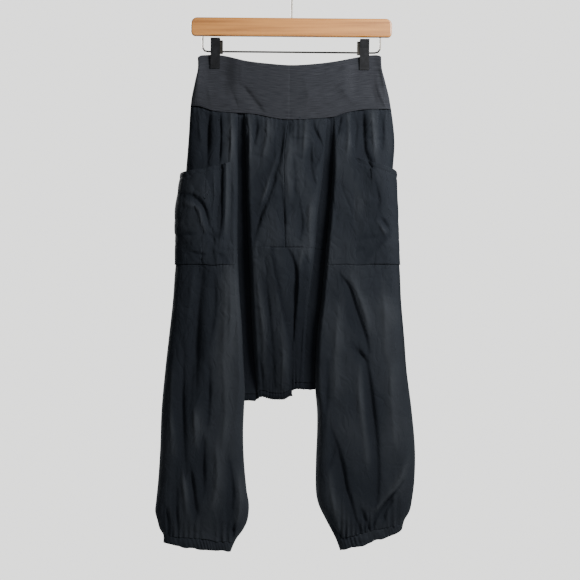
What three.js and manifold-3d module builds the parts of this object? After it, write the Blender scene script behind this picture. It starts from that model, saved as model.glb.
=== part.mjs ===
// Harem pants hung by their waistband from a wooden clip hanger.
// Millimetres, +Z up, the garment's front towards -Y, its left half (as seen) at -X.
// The origin is the point of the rail that the hook bears on.
import * as THREE from "three";
import Module from "manifold-3d";
import { mergeVertices } from "three/addons/utils/BufferGeometryUtils.js";

const wasm = await Module();
wasm.setup();

// Cloth
const wovenWall = 1.2;
const bandWall = 2;
const seamGap = 0.3;
const halfGap = seamGap / 2;

// Heights of the seams that cross the garment
const gussetSeam = -496.5;
const thighSeam = -528;
const crotchSeam = -757;

// Hanger
const barLength = 362;
const barHeight = 33;
const barDepth = 14;
const barTop = -83;
const barBottom = barTop - barHeight;
const hangTilt = THREE.MathUtils.degToRad(0.5);
const rodDiameter = 3.2;
const rodHalfSpan = 160;
const rodHeight = -144;
const rodSocket = 12;
const hookWire = 3.6;
const hookRadius = 19;
const clipWidth = 17;
const clipTop = -120;
const clipTip = -175;
const clipCentres = { left: -137, right: 132 };

// Side seams of the hanging garment, from the waist down past the cuffs
const sideSeams = [
  { z: -140, left: -168, right: 158 },
  { z: -172, left: -168, right: 159 },
  { z: -196, left: -173, right: 165 },
  { z: -232, left: -181, right: 174 },
  { z: -304, left: -184, right: 182 },
  { z: -375, left: -191, right: 184 },
  { z: -466, left: -200, right: 188 },
  { z: -537, left: -208, right: 192 },
  { z: -592, left: -213, right: 194 },
  { z: -664, left: -221, right: 200 },
  { z: -718, left: -228, right: 205 },
  { z: -790, left: -233, right: 213 },
  { z: -860, left: -236, right: 218.5 },
  { z: -915, left: -239, right: 219 },
  { z: -955, left: -243.5, right: 213 },
  { z: -972, left: -245, right: 209 },
  { z: -988, left: -241, right: 200 },
  { z: -1003, left: -235, right: 199 },
  { z: -1016, left: -227, right: 198 },
  { z: -1048, left: -231, right: 196 },
];

// Facing edges of the legs and of the dropped centre; below the crotch, the inseams
const innerEdges = [
  { z: -140, legLeft: -95, bagLeft: -88, bagRight: 66, legRight: 73 },
  { z: -262, legLeft: -97, bagLeft: -87, bagRight: 63, legRight: 75 },
  { z: -314, legLeft: -98, bagLeft: -84, bagRight: 59.5, legRight: 74 },
  { z: -375, legLeft: -97.5, bagLeft: -82.5, bagRight: 54, legRight: 72 },
  { z: -438, legLeft: -98, bagLeft: -81, bagRight: 46, legRight: 67 },
  { z: -500, legLeft: -98, bagLeft: -78, bagRight: 41, legRight: 61 },
  { z: -548, legLeft: -96, bagLeft: -76, bagRight: 35, legRight: 57 },
  { z: -592, legLeft: -93.5, bagLeft: -74, bagRight: 29, legRight: 53 },
  { z: -636, legLeft: -90, bagLeft: -72, bagRight: 25, legRight: 47 },
  { z: -690, legLeft: -88, bagLeft: -68.5, bagRight: 21.5, legRight: 43 },
  { z: -752, legLeft: -85, bagLeft: -64, bagRight: 20, legRight: 42 },
  { z: -790, legLeft: -86.5, bagLeft: -66, bagRight: 22, legRight: 45 },
  { z: -830, legLeft: -88, bagLeft: -66, bagRight: 22, legRight: 45 },
  { z: -880, legLeft: -86.5, bagLeft: -66, bagRight: 22, legRight: 43 },
  { z: -935, legLeft: -81.5, bagLeft: -66, bagRight: 22, legRight: 43 },
  { z: -960, legLeft: -77.5, bagLeft: -66, bagRight: 22, legRight: 48 },
  { z: -987, legLeft: -80, bagLeft: -66, bagRight: 22, legRight: 61 },
  { z: -1005, legLeft: -88, bagLeft: -66, bagRight: 22, legRight: 70.5 },
  { z: -1023, legLeft: -101, bagLeft: -66, bagRight: 22, legRight: 79.5 },
  { z: -1048, legLeft: -112, bagLeft: -66, bagRight: 22, legRight: 88.5 },
];

// How far each part of the cloth stands off the middle plane. sink is how far the
// pleats between legs and centre have dropped towards that plane.
const depths = [
  { z: -140, leg: 6, bag: 9, sink: 0 },
  { z: -200, leg: 9, bag: 12, sink: 0 },
  { z: -252, leg: 12, bag: 14, sink: 0 },
  { z: -272, leg: 14, bag: 15, sink: 0.25 },
  { z: -304, leg: 17, bag: 18, sink: 0.65 },
  { z: -344, leg: 20, bag: 20, sink: 0.9 },
  { z: -400, leg: 23, bag: 22, sink: 1 },
  { z: -500, leg: 26, bag: 24, sink: 1 },
  { z: -600, leg: 27, bag: 24, sink: 1 },
  { z: -700, leg: 26, bag: 21, sink: 1 },
  { z: -736, leg: 26, bag: 14, sink: 1 },
  { z: -757, leg: 26, bag: 8, sink: 1 },
  { z: -780, leg: 26, bag: 7, sink: 1 },
  { z: -880, leg: 27, bag: 7, sink: 1 },
  { z: -945, leg: 26, bag: 7, sink: 1 },
  { z: -985, leg: 21, bag: 7, sink: 1 },
  { z: -1010, leg: 16, bag: 7, sink: 1 },
  { z: -1048, leg: 15, bag: 7, sink: 1 },
];

// Radii of the rounded edges: outer at the side seams, inner along the pleats and inseams
const edgeRounds = [
  { z: -140, outer: 3, inner: 8 },
  { z: -180, outer: 4, inner: 8 },
  { z: -225, outer: 10, inner: 8 },
  { z: -262, outer: 16, inner: 8 },
  { z: -400, outer: 26, inner: 8 },
  { z: -700, outer: 28, inner: 9 },
  { z: -780, outer: 28, inner: 14 },
  { z: -860, outer: 28, inner: 22 },
  { z: -1048, outer: 20, inner: 18 },
];

// Distance of a leg's inner edge from the middle plane: an open pleat, then the inseam
const pleatFloor = 3;
const inseam = [
  { z: -140, depth: pleatFloor },
  { z: -752, depth: pleatFloor },
  { z: -780, depth: halfGap },
  { z: -1048, depth: halfGap },
];

const waistTop = [
  { x: -170, z: -155 },
  { x: -160, z: -150 },
  { x: -126, z: -150 },
  { x: -85, z: -160 },
  { x: -48, z: -165 },
  { x: 0, z: -168.5 },
  { x: 48, z: -165.5 },
  { x: 86, z: -160 },
  { x: 125, z: -152 },
  { x: 150, z: -150 },
  { x: 160, z: -154 },
];

const waistSeam = [
  { x: -182, z: -241 },
  { x: -160, z: -243 },
  { x: -138, z: -251 },
  { x: -68, z: -256.5 },
  { x: -36, z: -263 },
  { x: -5, z: -266.5 },
  { x: 72, z: -262 },
  { x: 97, z: -254 },
  { x: 128, z: -248.5 },
  { x: 180, z: -247.5 },
];

// The centre seam of the upper panels, and the edge of the flap that laps over the centre
const centreSeam = [
  { z: -140, x: -5 },
  { z: -380, x: -9 },
  { z: -500, x: -5 },
];
const lapEdge = [
  { z: -490, x: -38, height: 0 },
  { z: -555, x: -27, height: 3 },
  { z: -606, x: -16, height: 6 },
  { z: -653, x: -5.5, height: 7.5 },
  { z: -684, x: 0, height: 8 },
  { z: -780, x: -1, height: 7 },
];
const lapWidth = 1.6;
const backLap = 0.6;

// The largest folds: depth is negative for a trough, and x runs from high through middle to low
const folds = [
  { side: "front", top: -250, low: -352, high: 129, middle: 130, end: 146, depth: -4, width: 9 },
  { side: "front", top: -300, low: -500, high: -124, middle: -122, end: -130, depth: -4, width: 8 },
  { side: "front", top: -262, low: -440, high: -6, middle: -20, end: -64, depth: -3, width: 9 },
  { side: "front", top: -560, low: -720, high: 90, middle: 116, end: 136, depth: -3.5, width: 12 },
  { side: "front", top: -680, low: -950, high: 134, middle: 150, end: 152, depth: -4.5, width: 13 },
  { side: "front", top: -820, low: -1015, high: 72, middle: 98, end: 132, depth: -4, width: 11 },
  { side: "front", top: -660, low: -900, high: -196, middle: -194, end: -198, depth: -5, width: 14 },
  { side: "front", top: -780, low: -1010, high: -150, middle: -156, end: -166, depth: -5, width: 13 },
  { side: "back", top: -262, low: -470, high: 108, middle: 122, end: 126, depth: -4, width: 11 },
  { side: "back", top: -262, low: -430, high: -140, middle: -136, end: -150, depth: -4, width: 11 },
  { side: "back", top: -560, low: -760, high: -150, middle: -168, end: -160, depth: -4, width: 13 },
  { side: "back", top: -760, low: -1000, high: -190, middle: -176, end: -170, depth: -4.5, width: 13 },
  { side: "back", top: -640, low: -860, high: 150, middle: 140, end: 122, depth: -4, width: 12 },
  { side: "back", top: -800, low: -1000, high: 100, middle: 116, end: 140, depth: -4.5, width: 12 },
];

// Pockets: mouth heights at the side seam and at the inner edge, and how far they stand out
const pockets = {
  left: { mouthOuter: -366, mouthInner: -344, inner: 0.76, bulge: 10, gape: 3.5 },
  right: { mouthOuter: -368, mouthInner: -332, inner: 0.66, bulge: 5, gape: 7 },
};

// Cuffs: top and bottom edges at the side seam (outer) and at the inseam (inner)
const cuffs = {
  left: { topOuter: -1012, topInner: -1029, lowOuter: -1027, lowInner: -1045 },
  right: { topOuter: -990, topInner: -1025, lowOuter: -1003, lowInner: -1043 },
};

// Crotch casing: height of the band, and the lower edge left and right of the lapped fold
const casing = { height: 13, lowFlap: -771, lowRight: -755 };

// Columns across each zone; the outer and inner rounded edges end at the two split values
const outerSplit = 0.25;
const innerSplit = 0.8;
const legColumns = [0, 0.09, 0.17, outerSplit, 0.39, 0.53, 0.67, innerSplit, 0.87, 0.94, 1];
const bagColumns = [0, 0.08, 0.16, 0.28, 0.4, 0.5, 0.52, 0.64, 0.74, 0.84, 0.92, 1];
const bagSplit = { left: 0.16, right: 0.84, flap: 0.5, under: 0.52 };
const bagRounds = { left: 9, right: 13 };

const colours = {
  woven: 0x23282d,
  knit: 0x3a3d43,
  wood: 0xc29b6e,
  wire: 0x4c4842,
  clip: 0x1e1f23,
};

const finishes = {
  woven: { roughness: 0.95, metalness: 0 },
  knit: { roughness: 0.98, metalness: 0 },
  wood: { roughness: 0.55, metalness: 0 },
  wire: { roughness: 0.35, metalness: 1 },
  clip: { roughness: 0.5, metalness: 0.4 },
};

const harem = new THREE.Group();
const hanger = new THREE.Group();
hanger.rotation.y = hangTilt;
harem.add(hanger);

function addPiece(parent, name, geometry, look) {
  const material = new THREE.MeshStandardMaterial({ color: colours[look], ...finishes[look] });
  const mesh = new THREE.Mesh(geometry, material);
  mesh.name = name;
  parent.add(mesh);
  return mesh;
}

// Value of a table's column at a height or position: a cubic through the rows, which run
// one way along the key, with the slope at each row taken from its neighbours.
function along(table, key, column, at) {
  const direction = Math.sign(table[table.length - 1][key] - table[0][key]);
  const reach = (row) => (row[key] - at) * direction;
  let next = table.findIndex((row) => reach(row) >= 0);
  if (next === -1) return table[table.length - 1][column];
  if (next === 0) return table[0][column];
  const slope = (index) => {
    const before = table[Math.max(index - 1, 0)];
    const after = table[Math.min(index + 1, table.length - 1)];
    return (after[column] - before[column]) / (after[key] - before[key]);
  };
  const from = table[next - 1];
  const to = table[next];
  const span = to[key] - from[key];
  const u = (at - from[key]) / span;
  const value = from[column] * (1 + 2 * u) * (1 - u) ** 2 + to[column] * u * u * (3 - 2 * u);
  return value + span * (slope(next - 1) * u * (1 - u) ** 2 - slope(next) * u * u * (1 - u));
}

const atHeight = (table, column, z) => along(table, "z", column, z);

function smoothStep(low, high, value) {
  return THREE.MathUtils.smoothstep(value, Math.min(low, high), Math.max(low, high));
}

// The clips press the two layers of the waistband together at its top edge
function clipPinch(x, z) {
  const flat = 14;
  const reach = 40;
  const fade = smoothStep(clipTip - 65, clipTip - 6, z);
  const distance = Math.min(Math.abs(x - clipCentres.left), Math.abs(x - clipCentres.right));
  return fade * (1 - smoothStep(flat, reach, distance));
}

// Height of the large folds above the plain form
function foldRelief(side, x, z) {
  let relief = 0;
  for (const fold of folds) {
    if (fold.side !== side || z > fold.top || z < fold.low) continue;
    const u = (fold.top - z) / (fold.top - fold.low);
    const centre = fold.high * (1 - u) ** 2 + fold.middle * 2 * u * (1 - u) + fold.end * u * u;
    const fade = Math.sin(Math.PI * u) ** 0.7;
    relief += fold.depth * fade * Math.exp(-(((x - centre) / fold.width) ** 2));
  }
  return relief;
}

// Quarter-ellipse rise of a rounded edge, 0 at the edge and 1 a radius in
function roundRise(distance, radius) {
  const t = Math.min(Math.max(distance / radius, 0), 1);
  return Math.sqrt(1 - (1 - t) ** 2);
}

function pleatDepth(z) {
  const standing = atHeight(depths, "leg", z);
  return THREE.MathUtils.lerp(standing, pleatFloor, atHeight(depths, "sink", z));
}

// A leg's half section, t from the side seam (0) to the pleat or inseam (1)
function legPoint(hand, t, z, side) {
  const outerX = atHeight(sideSeams, hand, z);
  const innerX = atHeight(innerEdges, hand === "left" ? "legLeft" : "legRight", z);
  const width = Math.abs(innerX - outerX);
  const towards = Math.sign(innerX - outerX);
  const outerRound = atHeight(edgeRounds, "outer", z);
  const innerRound = atHeight(edgeRounds, "inner", z);
  let inset;
  if (t <= outerSplit) {
    inset = outerRound * (1 - Math.cos((t / outerSplit) * Math.PI / 2));
  } else if (t < innerSplit) {
    const u = (t - outerSplit) / (innerSplit - outerSplit);
    inset = THREE.MathUtils.lerp(outerRound, width - innerRound, u);
  } else {
    inset = width - innerRound * (1 - Math.cos(((1 - t) / (1 - innerSplit)) * Math.PI / 2));
  }
  const x = outerX + towards * inset;
  const crown = atHeight(depths, "leg", z);
  const middle = 0.88 + 0.12 * Math.sin(Math.PI * inset / width) ** 2;
  const inseamDepth = Math.max(atHeight(inseam, "depth", z), halfGap);
  const innerDepth = z > crotchSeam ? pleatDepth(z) : inseamDepth;
  const innerRise = roundRise(width - inset, innerRound);
  const outerRise = roundRise(inset, outerRound);
  const standing = innerDepth + (crown * middle - innerDepth) * innerRise;
  let depth = halfGap + (standing - halfGap) * outerRise;
  depth += foldRelief(side, x, z) * outerRise * innerRise;
  return { x, depth };
}

// The dropped centre's half section, t from its left edge to its right edge. lapped is
// true below the gusset seam, where the left half lies over the right as a flap.
function bagPoint(t, z, side, lapped) {
  const left = atHeight(innerEdges, "bagLeft", z);
  const right = atHeight(innerEdges, "bagRight", z);
  let foldX = atHeight(centreSeam, "x", z);
  let underX = foldX;
  let lap = 0;
  if (lapped) {
    foldX = atHeight(lapEdge, "x", z);
    underX = foldX + lapWidth;
    lap = atHeight(lapEdge, "height", z) * (side === "front" ? 1 : backLap);
  }
  let x;
  if (t <= bagSplit.left) {
    x = left + bagRounds.left * (1 - Math.cos((t / bagSplit.left) * Math.PI / 2));
  } else if (t <= bagSplit.flap) {
    const u = (t - bagSplit.left) / (bagSplit.flap - bagSplit.left);
    x = THREE.MathUtils.lerp(left + bagRounds.left, foldX, u);
  } else if (t <= bagSplit.right) {
    const u = (t - bagSplit.under) / (bagSplit.right - bagSplit.under);
    x = THREE.MathUtils.lerp(underX, right - bagRounds.right, u);
  } else {
    x = right - bagRounds.right * (1 - Math.cos(((1 - t) / (1 - bagSplit.right)) * Math.PI / 2));
  }
  const floor = pleatDepth(z);
  const crown = atHeight(depths, "bag", z);
  const across = (x - left) / (right - left);
  const middle = 0.86 + 0.14 * Math.sin(Math.PI * across) ** 2;
  const rise = roundRise(x - left, bagRounds.left) * roundRise(right - x, bagRounds.right);
  let depth = floor + (crown * middle - floor) * rise;
  if (t <= bagSplit.flap) depth += lap * smoothStep(left, foldX, x);
  depth += foldRelief(side, x, z) * rise;
  return { x, depth };
}

// The bottom of a pleat, between a leg's edge and the dropped centre
function tuckPoint(hand, z) {
  const leg = atHeight(innerEdges, hand === "left" ? "legLeft" : "legRight", z);
  const x = leg + (hand === "left" ? seamGap : -seamGap);
  return { x, depth: z > crotchSeam ? pleatDepth(z) : pleatFloor };
}

// A station is one column of a panel: the zone it crosses, its place there, and its shift
function stationPoint(station, z, side) {
  const { zone, t } = station;
  let point;
  if (zone === "legLeft") point = legPoint("left", t, z, side);
  else if (zone === "legRight") point = legPoint("right", t, z, side);
  else if (zone === "tuckLeft") point = tuckPoint("left", z);
  else if (zone === "tuckRight") point = tuckPoint("right", z);
  else point = bagPoint(t, z, side, zone === "gusset");
  const x = point.x + (station.shift ?? 0);
  const pressed = bandWall + halfGap;
  const depth = THREE.MathUtils.lerp(point.depth, Math.min(point.depth, pressed), clipPinch(x, z));
  return new THREE.Vector3(x, side === "front" ? -depth : depth, z);
}

const column = (zone) => (t) => ({ zone, t });
const legLeftStations = legColumns.map(column("legLeft"));
const legRightStations = legColumns.map(column("legRight")).reverse();
const gussetStations = bagColumns.map(column("gusset"));
const yokeLeftStations = bagColumns.filter((t) => t <= bagSplit.flap).map(column("yoke"));
const yokeRightStations = bagColumns.filter((t) => t >= bagSplit.under).map(column("yoke"));
const tuckLeftStation = { zone: "tuckLeft", t: 0 };
const tuckRightStation = { zone: "tuckRight", t: 0 };

const halfFrontLeft = [...legLeftStations, tuckLeftStation, ...yokeLeftStations];
const halfFrontRight = [...yokeRightStations, tuckRightStation, ...legRightStations];

// The waistband's wall is thicker, so it leaves out the columns that stand close together
const closeColumns = [0.09, 0.94];
const waistbandStations = [...halfFrontLeft, ...halfFrontRight.slice(1)]
  .filter(({ zone, t }) => !zone.startsWith("tuck") && !closeColumns.includes(t));
const acrossCentre = [tuckLeftStation, ...gussetStations, tuckRightStation];

// Heights along the seams that cross the garment
function waistSeamHeight(station) {
  const x = stationPoint(station, waistSeam[3].z, "front").x;
  return along(waistSeam, "x", "z", x);
}

function waistTopHeight(station) {
  const x = stationPoint(station, waistTop[2].z, "front").x;
  return along(waistTop, "x", "z", x);
}

function hipSeamHeight(station) {
  if (station.zone === "yoke" || station.zone === "gusset") return gussetSeam;
  const pleatEnd = gussetSeam - 6;
  if (station.zone.startsWith("tuck")) return gussetSeam - 3;
  return THREE.MathUtils.lerp(thighSeam, pleatEnd, smoothStep(innerSplit, 1, station.t));
}

function cuffHeight(hand, edge, station) {
  const cuff = cuffs[hand];
  return THREE.MathUtils.lerp(cuff[edge + "Outer"], cuff[edge + "Inner"], station.t);
}

function casingLow(station) {
  if (station.zone === "tuckLeft") return casing.lowFlap - 2;
  if (station.zone === "tuckRight") return casing.lowRight + 1;
  if (station.t <= bagSplit.flap) return casing.lowFlap;
  return station.t === bagSplit.under ? casing.lowFlap + 6 : casing.lowRight;
}

// Closed cloth wall over a grid of outer points: rows down, columns across. The inner
// points lie a wall's thickness behind, along the normals that point out of the garment,
// and where held is given each stays on its outer point's side of the middle plane.
function clothGeometry(grid, wall, outward, { wraps = false, held = false } = {}) {
  const rowCount = grid.length;
  const columnCount = grid[0].length;
  const across = new THREE.Vector3();
  const down = new THREE.Vector3();
  const inner = grid.map((row, r) => row.map((point, c) => {
    const lastColumn = columnCount - 1;
    const before = wraps ? (c + lastColumn) % columnCount : Math.max(c - 1, 0);
    const after = wraps ? (c + 1) % columnCount : Math.min(c + 1, lastColumn);
    across.subVectors(row[after], row[before]);
    down.subVectors(grid[Math.min(r + 1, rowCount - 1)][c], grid[Math.max(r - 1, 0)][c]);
    const normal = new THREE.Vector3().crossVectors(down, across).normalize();
    const behind = point.clone().addScaledVector(normal, -wall * outward);
    if (held) {
      const half = Math.sign(point.y);
      behind.y = half * Math.max(half * behind.y, halfGap);
    }
    return behind;
  }));
  const positions = [...grid.flat(), ...inner.flat()].flatMap((point) => point.toArray());
  const innerStart = rowCount * columnCount;
  const outerAt = (r, c) => r * columnCount + (c % columnCount);
  const innerAt = (r, c) => innerStart + outerAt(r, c);
  const triangles = [];
  const quad = (a, b, c, d) => {
    if (outward > 0) triangles.push(a, b, c, a, c, d);
    else triangles.push(a, c, b, a, d, c);
  };
  const cells = wraps ? columnCount : columnCount - 1;
  for (let c = 0; c < cells; c += 1) {
    for (let r = 0; r < rowCount - 1; r += 1) {
      quad(outerAt(r, c), outerAt(r + 1, c), outerAt(r + 1, c + 1), outerAt(r, c + 1));
      quad(innerAt(r, c), innerAt(r, c + 1), innerAt(r + 1, c + 1), innerAt(r + 1, c));
    }
    const end = rowCount - 1;
    quad(outerAt(0, c), outerAt(0, c + 1), innerAt(0, c + 1), innerAt(0, c));
    quad(outerAt(end, c), innerAt(end, c), innerAt(end, c + 1), outerAt(end, c + 1));
  }
  if (!wraps) {
    for (let r = 0; r < rowCount - 1; r += 1) {
      quad(outerAt(r, 0), innerAt(r, 0), innerAt(r + 1, 0), outerAt(r + 1, 0));
      quad(outerAt(r, cells), outerAt(r + 1, cells), innerAt(r + 1, cells), innerAt(r, cells));
    }
  }
  const geometry = new THREE.BufferGeometry();
  geometry.setAttribute("position", new THREE.Float32BufferAttribute(positions, 3));
  geometry.setIndex(triangles);
  return geometry;
}

// A panel of one side between an upper and a lower seam, both given per station
function addPanel(name, side, stations, top, low, rows, wall, look) {
  const grid = [];
  for (let r = 0; r <= rows; r += 1) {
    const v = r / rows;
    grid.push(stations.map((station) => {
      const z = THREE.MathUtils.lerp(top(station) - halfGap, low(station) + halfGap, v);
      return stationPoint(station, z, side);
    }));
  }
  const outward = side === "front" ? 1 : -1;
  addPiece(harem, name, clothGeometry(grid, wall, outward, { held: true }), look);
}

// Waistband, upper panels, dropped centre and legs, for the front and the back
function shifted(stations, shift) {
  const end = shift < 0 ? stations.length - 1 : 0;
  return stations.map((station, index) => (index === end ? { ...station, shift } : station));
}

for (const side of ["front", "back"]) {
  addPanel(`waistband_${side}`, side, waistbandStations,
    waistTopHeight, waistSeamHeight, 4, bandWall, "knit");
  addPanel(`upper_${side}_left`, side, shifted(halfFrontLeft, -halfGap),
    waistSeamHeight, hipSeamHeight, 9, wovenWall, "woven");
  addPanel(`upper_${side}_right`, side, shifted(halfFrontRight, halfGap),
    waistSeamHeight, hipSeamHeight, 9, wovenWall, "woven");
  addPanel(`crotch_${side}`, side, acrossCentre, hipSeamHeight,
    (station) => casingLow(station) + casing.height, 9, wovenWall, "woven");
  for (const hand of ["left", "right"]) {
    const stations = hand === "left" ? legLeftStations : legRightStations;
    addPanel(`leg_${hand}_${side}`, side, stations, hipSeamHeight,
      (station) => cuffHeight(hand, "top", station), 16, wovenWall, "woven");
  }
}

// Crotch casing: a band folded under the dropped centre, from the front edge to the back edge
function addCasing() {
  const turns = 6;
  const grid = [];
  for (let r = 0; r <= turns; r += 1) {
    const angle = (r / turns) * Math.PI;
    grid.push(acrossCentre.map((station) => {
      const low = casingLow(station);
      const edge = low + casing.height - 2 * seamGap;
      const front = stationPoint(station, edge, "front");
      const back = stationPoint(station, edge, "back");
      const centre = (front.y + back.y) / 2;
      const reach = (front.y - back.y) / 2;
      const drop = (edge - low) * Math.sin(angle) ** 0.6;
      return new THREE.Vector3(front.x, centre + reach * Math.cos(angle), edge - drop);
    }));
  }
  addPiece(harem, "crotch_casing", clothGeometry(grid, wovenWall, 1), "woven");
}
addCasing();

// Cuffs: closed rings of casing under the legs
function addCuff(hand) {
  const frontStations = hand === "left" ? legLeftStations : legRightStations;
  const rows = 2;
  const grid = [];
  for (let r = 0; r <= rows; r += 1) {
    const v = r / rows;
    const ringPoint = (side) => (station) => {
      const top = cuffHeight(hand, "top", station) - halfGap;
      const z = THREE.MathUtils.lerp(top, cuffHeight(hand, "low", station), v);
      return stationPoint(station, z, side);
    };
    const behind = [...frontStations].reverse();
    grid.push([...frontStations.map(ringPoint("front")), ...behind.map(ringPoint("back"))]);
  }
  const ring = clothGeometry(grid, wovenWall, 1, { wraps: true, held: true });
  addPiece(harem, `cuff_${hand}`, ring, "woven");
}
addCuff("left");
addCuff("right");

// Pockets lie on the upper front panels: the panel's own points, moved out along its
// normals, clear of its wall, and further out where the pocket gapes and sags.
function addPocket(hand) {
  const { mouthOuter, mouthInner, inner, bulge, gape } = pockets[hand];
  const columns = 8;
  const rows = 7;
  const sign = hand === "left" ? 1 : -1;
  const zone = hand === "left" ? "legLeft" : "legRight";
  const start = 0.03;
  const pointAt = (t, z) => stationPoint({ zone, t }, z, "front");
  const grid = [];
  for (let r = 0; r <= rows; r += 1) {
    const v = r / rows;
    const row = [];
    for (let c = 0; c <= columns; c += 1) {
      const u = c / columns;
      const t = THREE.MathUtils.lerp(start, inner, u ** 1.2);
      const mouth = THREE.MathUtils.lerp(mouthOuter, mouthInner, u ** 0.8);
      const z = THREE.MathUtils.lerp(mouth, thighSeam + halfGap, v);
      const step = 0.01;
      const across = pointAt(t + step, z).sub(pointAt(t - step, z));
      const normal = new THREE.Vector3(across.y, -across.x, 0).normalize().multiplyScalar(sign);
      const standing = Math.sin(Math.PI * u ** 0.65) ** 0.8;
      const sag = bulge * standing * Math.sin(Math.PI * Math.min(1, 0.25 + 0.75 * v));
      const opening = gape * standing * (1 - v) ** 2;
      const offset = wovenWall + 2 * seamGap + sag + opening;
      row.push(pointAt(t, z).addScaledVector(normal, offset));
    }
    grid.push(hand === "left" ? row : row.reverse());
  }
  addPiece(harem, `pocket_${hand}`, clothGeometry(grid, wovenWall, 1), "woven");
}
addPocket("left");
addPocket("right");

// Solids for the cuts in the hanger bar
function toSolid(geometry) {
  const bare = geometry.clone();
  bare.deleteAttribute("normal");
  bare.deleteAttribute("uv");
  const merged = mergeVertices(bare, 1e-4);
  return new wasm.Manifold(new wasm.Mesh({
    numProp: 3,
    vertProperties: Float32Array.from(merged.attributes.position.array),
    triVerts: Uint32Array.from(merged.index.array),
  }));
}

function fromSolid(solid) {
  const mesh = solid.getMesh();
  const geometry = new THREE.BufferGeometry();
  geometry.setAttribute("position", new THREE.BufferAttribute(mesh.vertProperties, 3));
  geometry.setIndex(new THREE.BufferAttribute(mesh.triVerts, 1));
  return geometry;
}

function uprightPin(radius, x, bottom, top) {
  const pin = new THREE.CylinderGeometry(radius, radius, top - bottom, 16);
  pin.rotateX(Math.PI / 2);
  pin.translate(x, 0, (top + bottom) / 2);
  return pin;
}

// Round wire along a list of points in the X-Z plane
function wireGeometry(points, diameter, steps) {
  const sides = 8;
  const profile = new THREE.Shape();
  for (let k = 0; k < sides; k += 1) {
    const angle = (k / sides) * 2 * Math.PI;
    const corner = [Math.cos(angle) * diameter / 2, Math.sin(angle) * diameter / 2];
    if (k === 0) profile.moveTo(...corner);
    else profile.lineTo(...corner);
  }
  profile.closePath();
  const path = new THREE.CatmullRomCurve3(points.map(([x, z]) => new THREE.Vector3(x, 0, z)));
  return new THREE.ExtrudeGeometry(profile, { steps, extrudePath: path });
}

function arcPoints(centreX, centreZ, radius, startDegrees, endDegrees, count) {
  const points = [];
  for (let k = 0; k <= count; k += 1) {
    const angle = THREE.MathUtils.degToRad(
      THREE.MathUtils.lerp(startDegrees, endDegrees, k / count));
    points.push([centreX + radius * Math.cos(angle), centreZ + radius * Math.sin(angle)]);
  }
  return points;
}

function addBar() {
  const half = barLength / 2;
  const topRound = 9;
  const lowRound = 5;
  const bevel = 2.5;
  const outline = new THREE.Shape();
  const left = -half + bevel;
  const right = half - bevel;
  const high = barTop - bevel;
  const low = barBottom + bevel;
  outline.moveTo(left + lowRound, low);
  outline.lineTo(right - lowRound, low);
  outline.absarc(right - lowRound, low + lowRound, lowRound, -Math.PI / 2, 0);
  outline.lineTo(right, high - topRound);
  outline.absarc(right - topRound, high - topRound, topRound, 0, Math.PI / 2);
  outline.lineTo(left + topRound, high);
  outline.absarc(left + topRound, high - topRound, topRound, Math.PI / 2, Math.PI);
  outline.lineTo(left, low + lowRound);
  outline.absarc(left + lowRound, low + lowRound, lowRound, Math.PI, Math.PI * 1.5);
  const bar = new THREE.ExtrudeGeometry(outline, {
    depth: barDepth - 2 * bevel,
    bevelThickness: bevel,
    bevelSize: bevel,
    bevelSegments: 3,
    curveSegments: 6,
  });
  bar.rotateX(Math.PI / 2);
  bar.translate(0, (barDepth - 2 * bevel) / 2, 0);
  let solid = toSolid(bar);
  const rodHole = rodDiameter / 2 + seamGap;
  const deep = barBottom + rodSocket;
  for (const x of [-rodHalfSpan, rodHalfSpan]) {
    solid = solid.subtract(toSolid(uprightPin(rodHole, x, barBottom - 1, deep)));
  }
  const hookHole = hookWire / 2 + seamGap;
  solid = solid.subtract(toSolid(uprightPin(hookHole, 0, barTop - 22, barTop + 1)));
  addPiece(hanger, "hanger_bar", fromSolid(solid), "wood");
}
addBar();

// Hook: a straight shank, a bend aside, and a round bow that ends in an open throat
function addHook() {
  const centreRadius = hookRadius + hookWire / 2;
  const centreZ = -hookRadius;
  const leave = 65;
  const bend = THREE.MathUtils.degToRad(leave);
  const joinX = centreRadius * Math.cos(bend);
  const joinZ = centreZ - centreRadius * Math.sin(bend);
  const bendRadius = joinX / (1 - Math.cos(bend));
  const bendZ = joinZ - bendRadius * Math.sin(bend);
  const shank = [[0, barTop - 21], [0, barTop - 8], [0, barTop + 8], [0, bendZ - 8]];
  const aside = arcPoints(bendRadius, bendZ, bendRadius, 180, 180 - leave, 5);
  const bow = arcPoints(0, centreZ, centreRadius, -leave, 205, 18);
  const route = [...shank, ...aside, ...bow.slice(1)];
  addPiece(hanger, "hanger_hook", wireGeometry(route, hookWire, 44), "wire");
}
addHook();

// Rod: both ends turn up into sockets in the bar
function addRod() {
  const turn = 8;
  const top = barBottom + rodSocket - 1;
  const edge = rodHalfSpan;
  const leftTurn = arcPoints(-edge + turn, rodHeight + turn, turn, 180, 270, 5);
  const rightTurn = arcPoints(edge - turn, rodHeight + turn, turn, 270, 360, 5);
  const level = [-100, -50, 0, 50, 100].map((x) => [x, rodHeight]);
  const route = [[-edge, top], [-edge, top - 12], ...leftTurn, ...level, ...rightTurn,
    [edge, top - 12], [edge, top]];
  addPiece(hanger, "hanger_rod", wireGeometry(route, rodDiameter, 60), "wire");
}
addRod();

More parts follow.
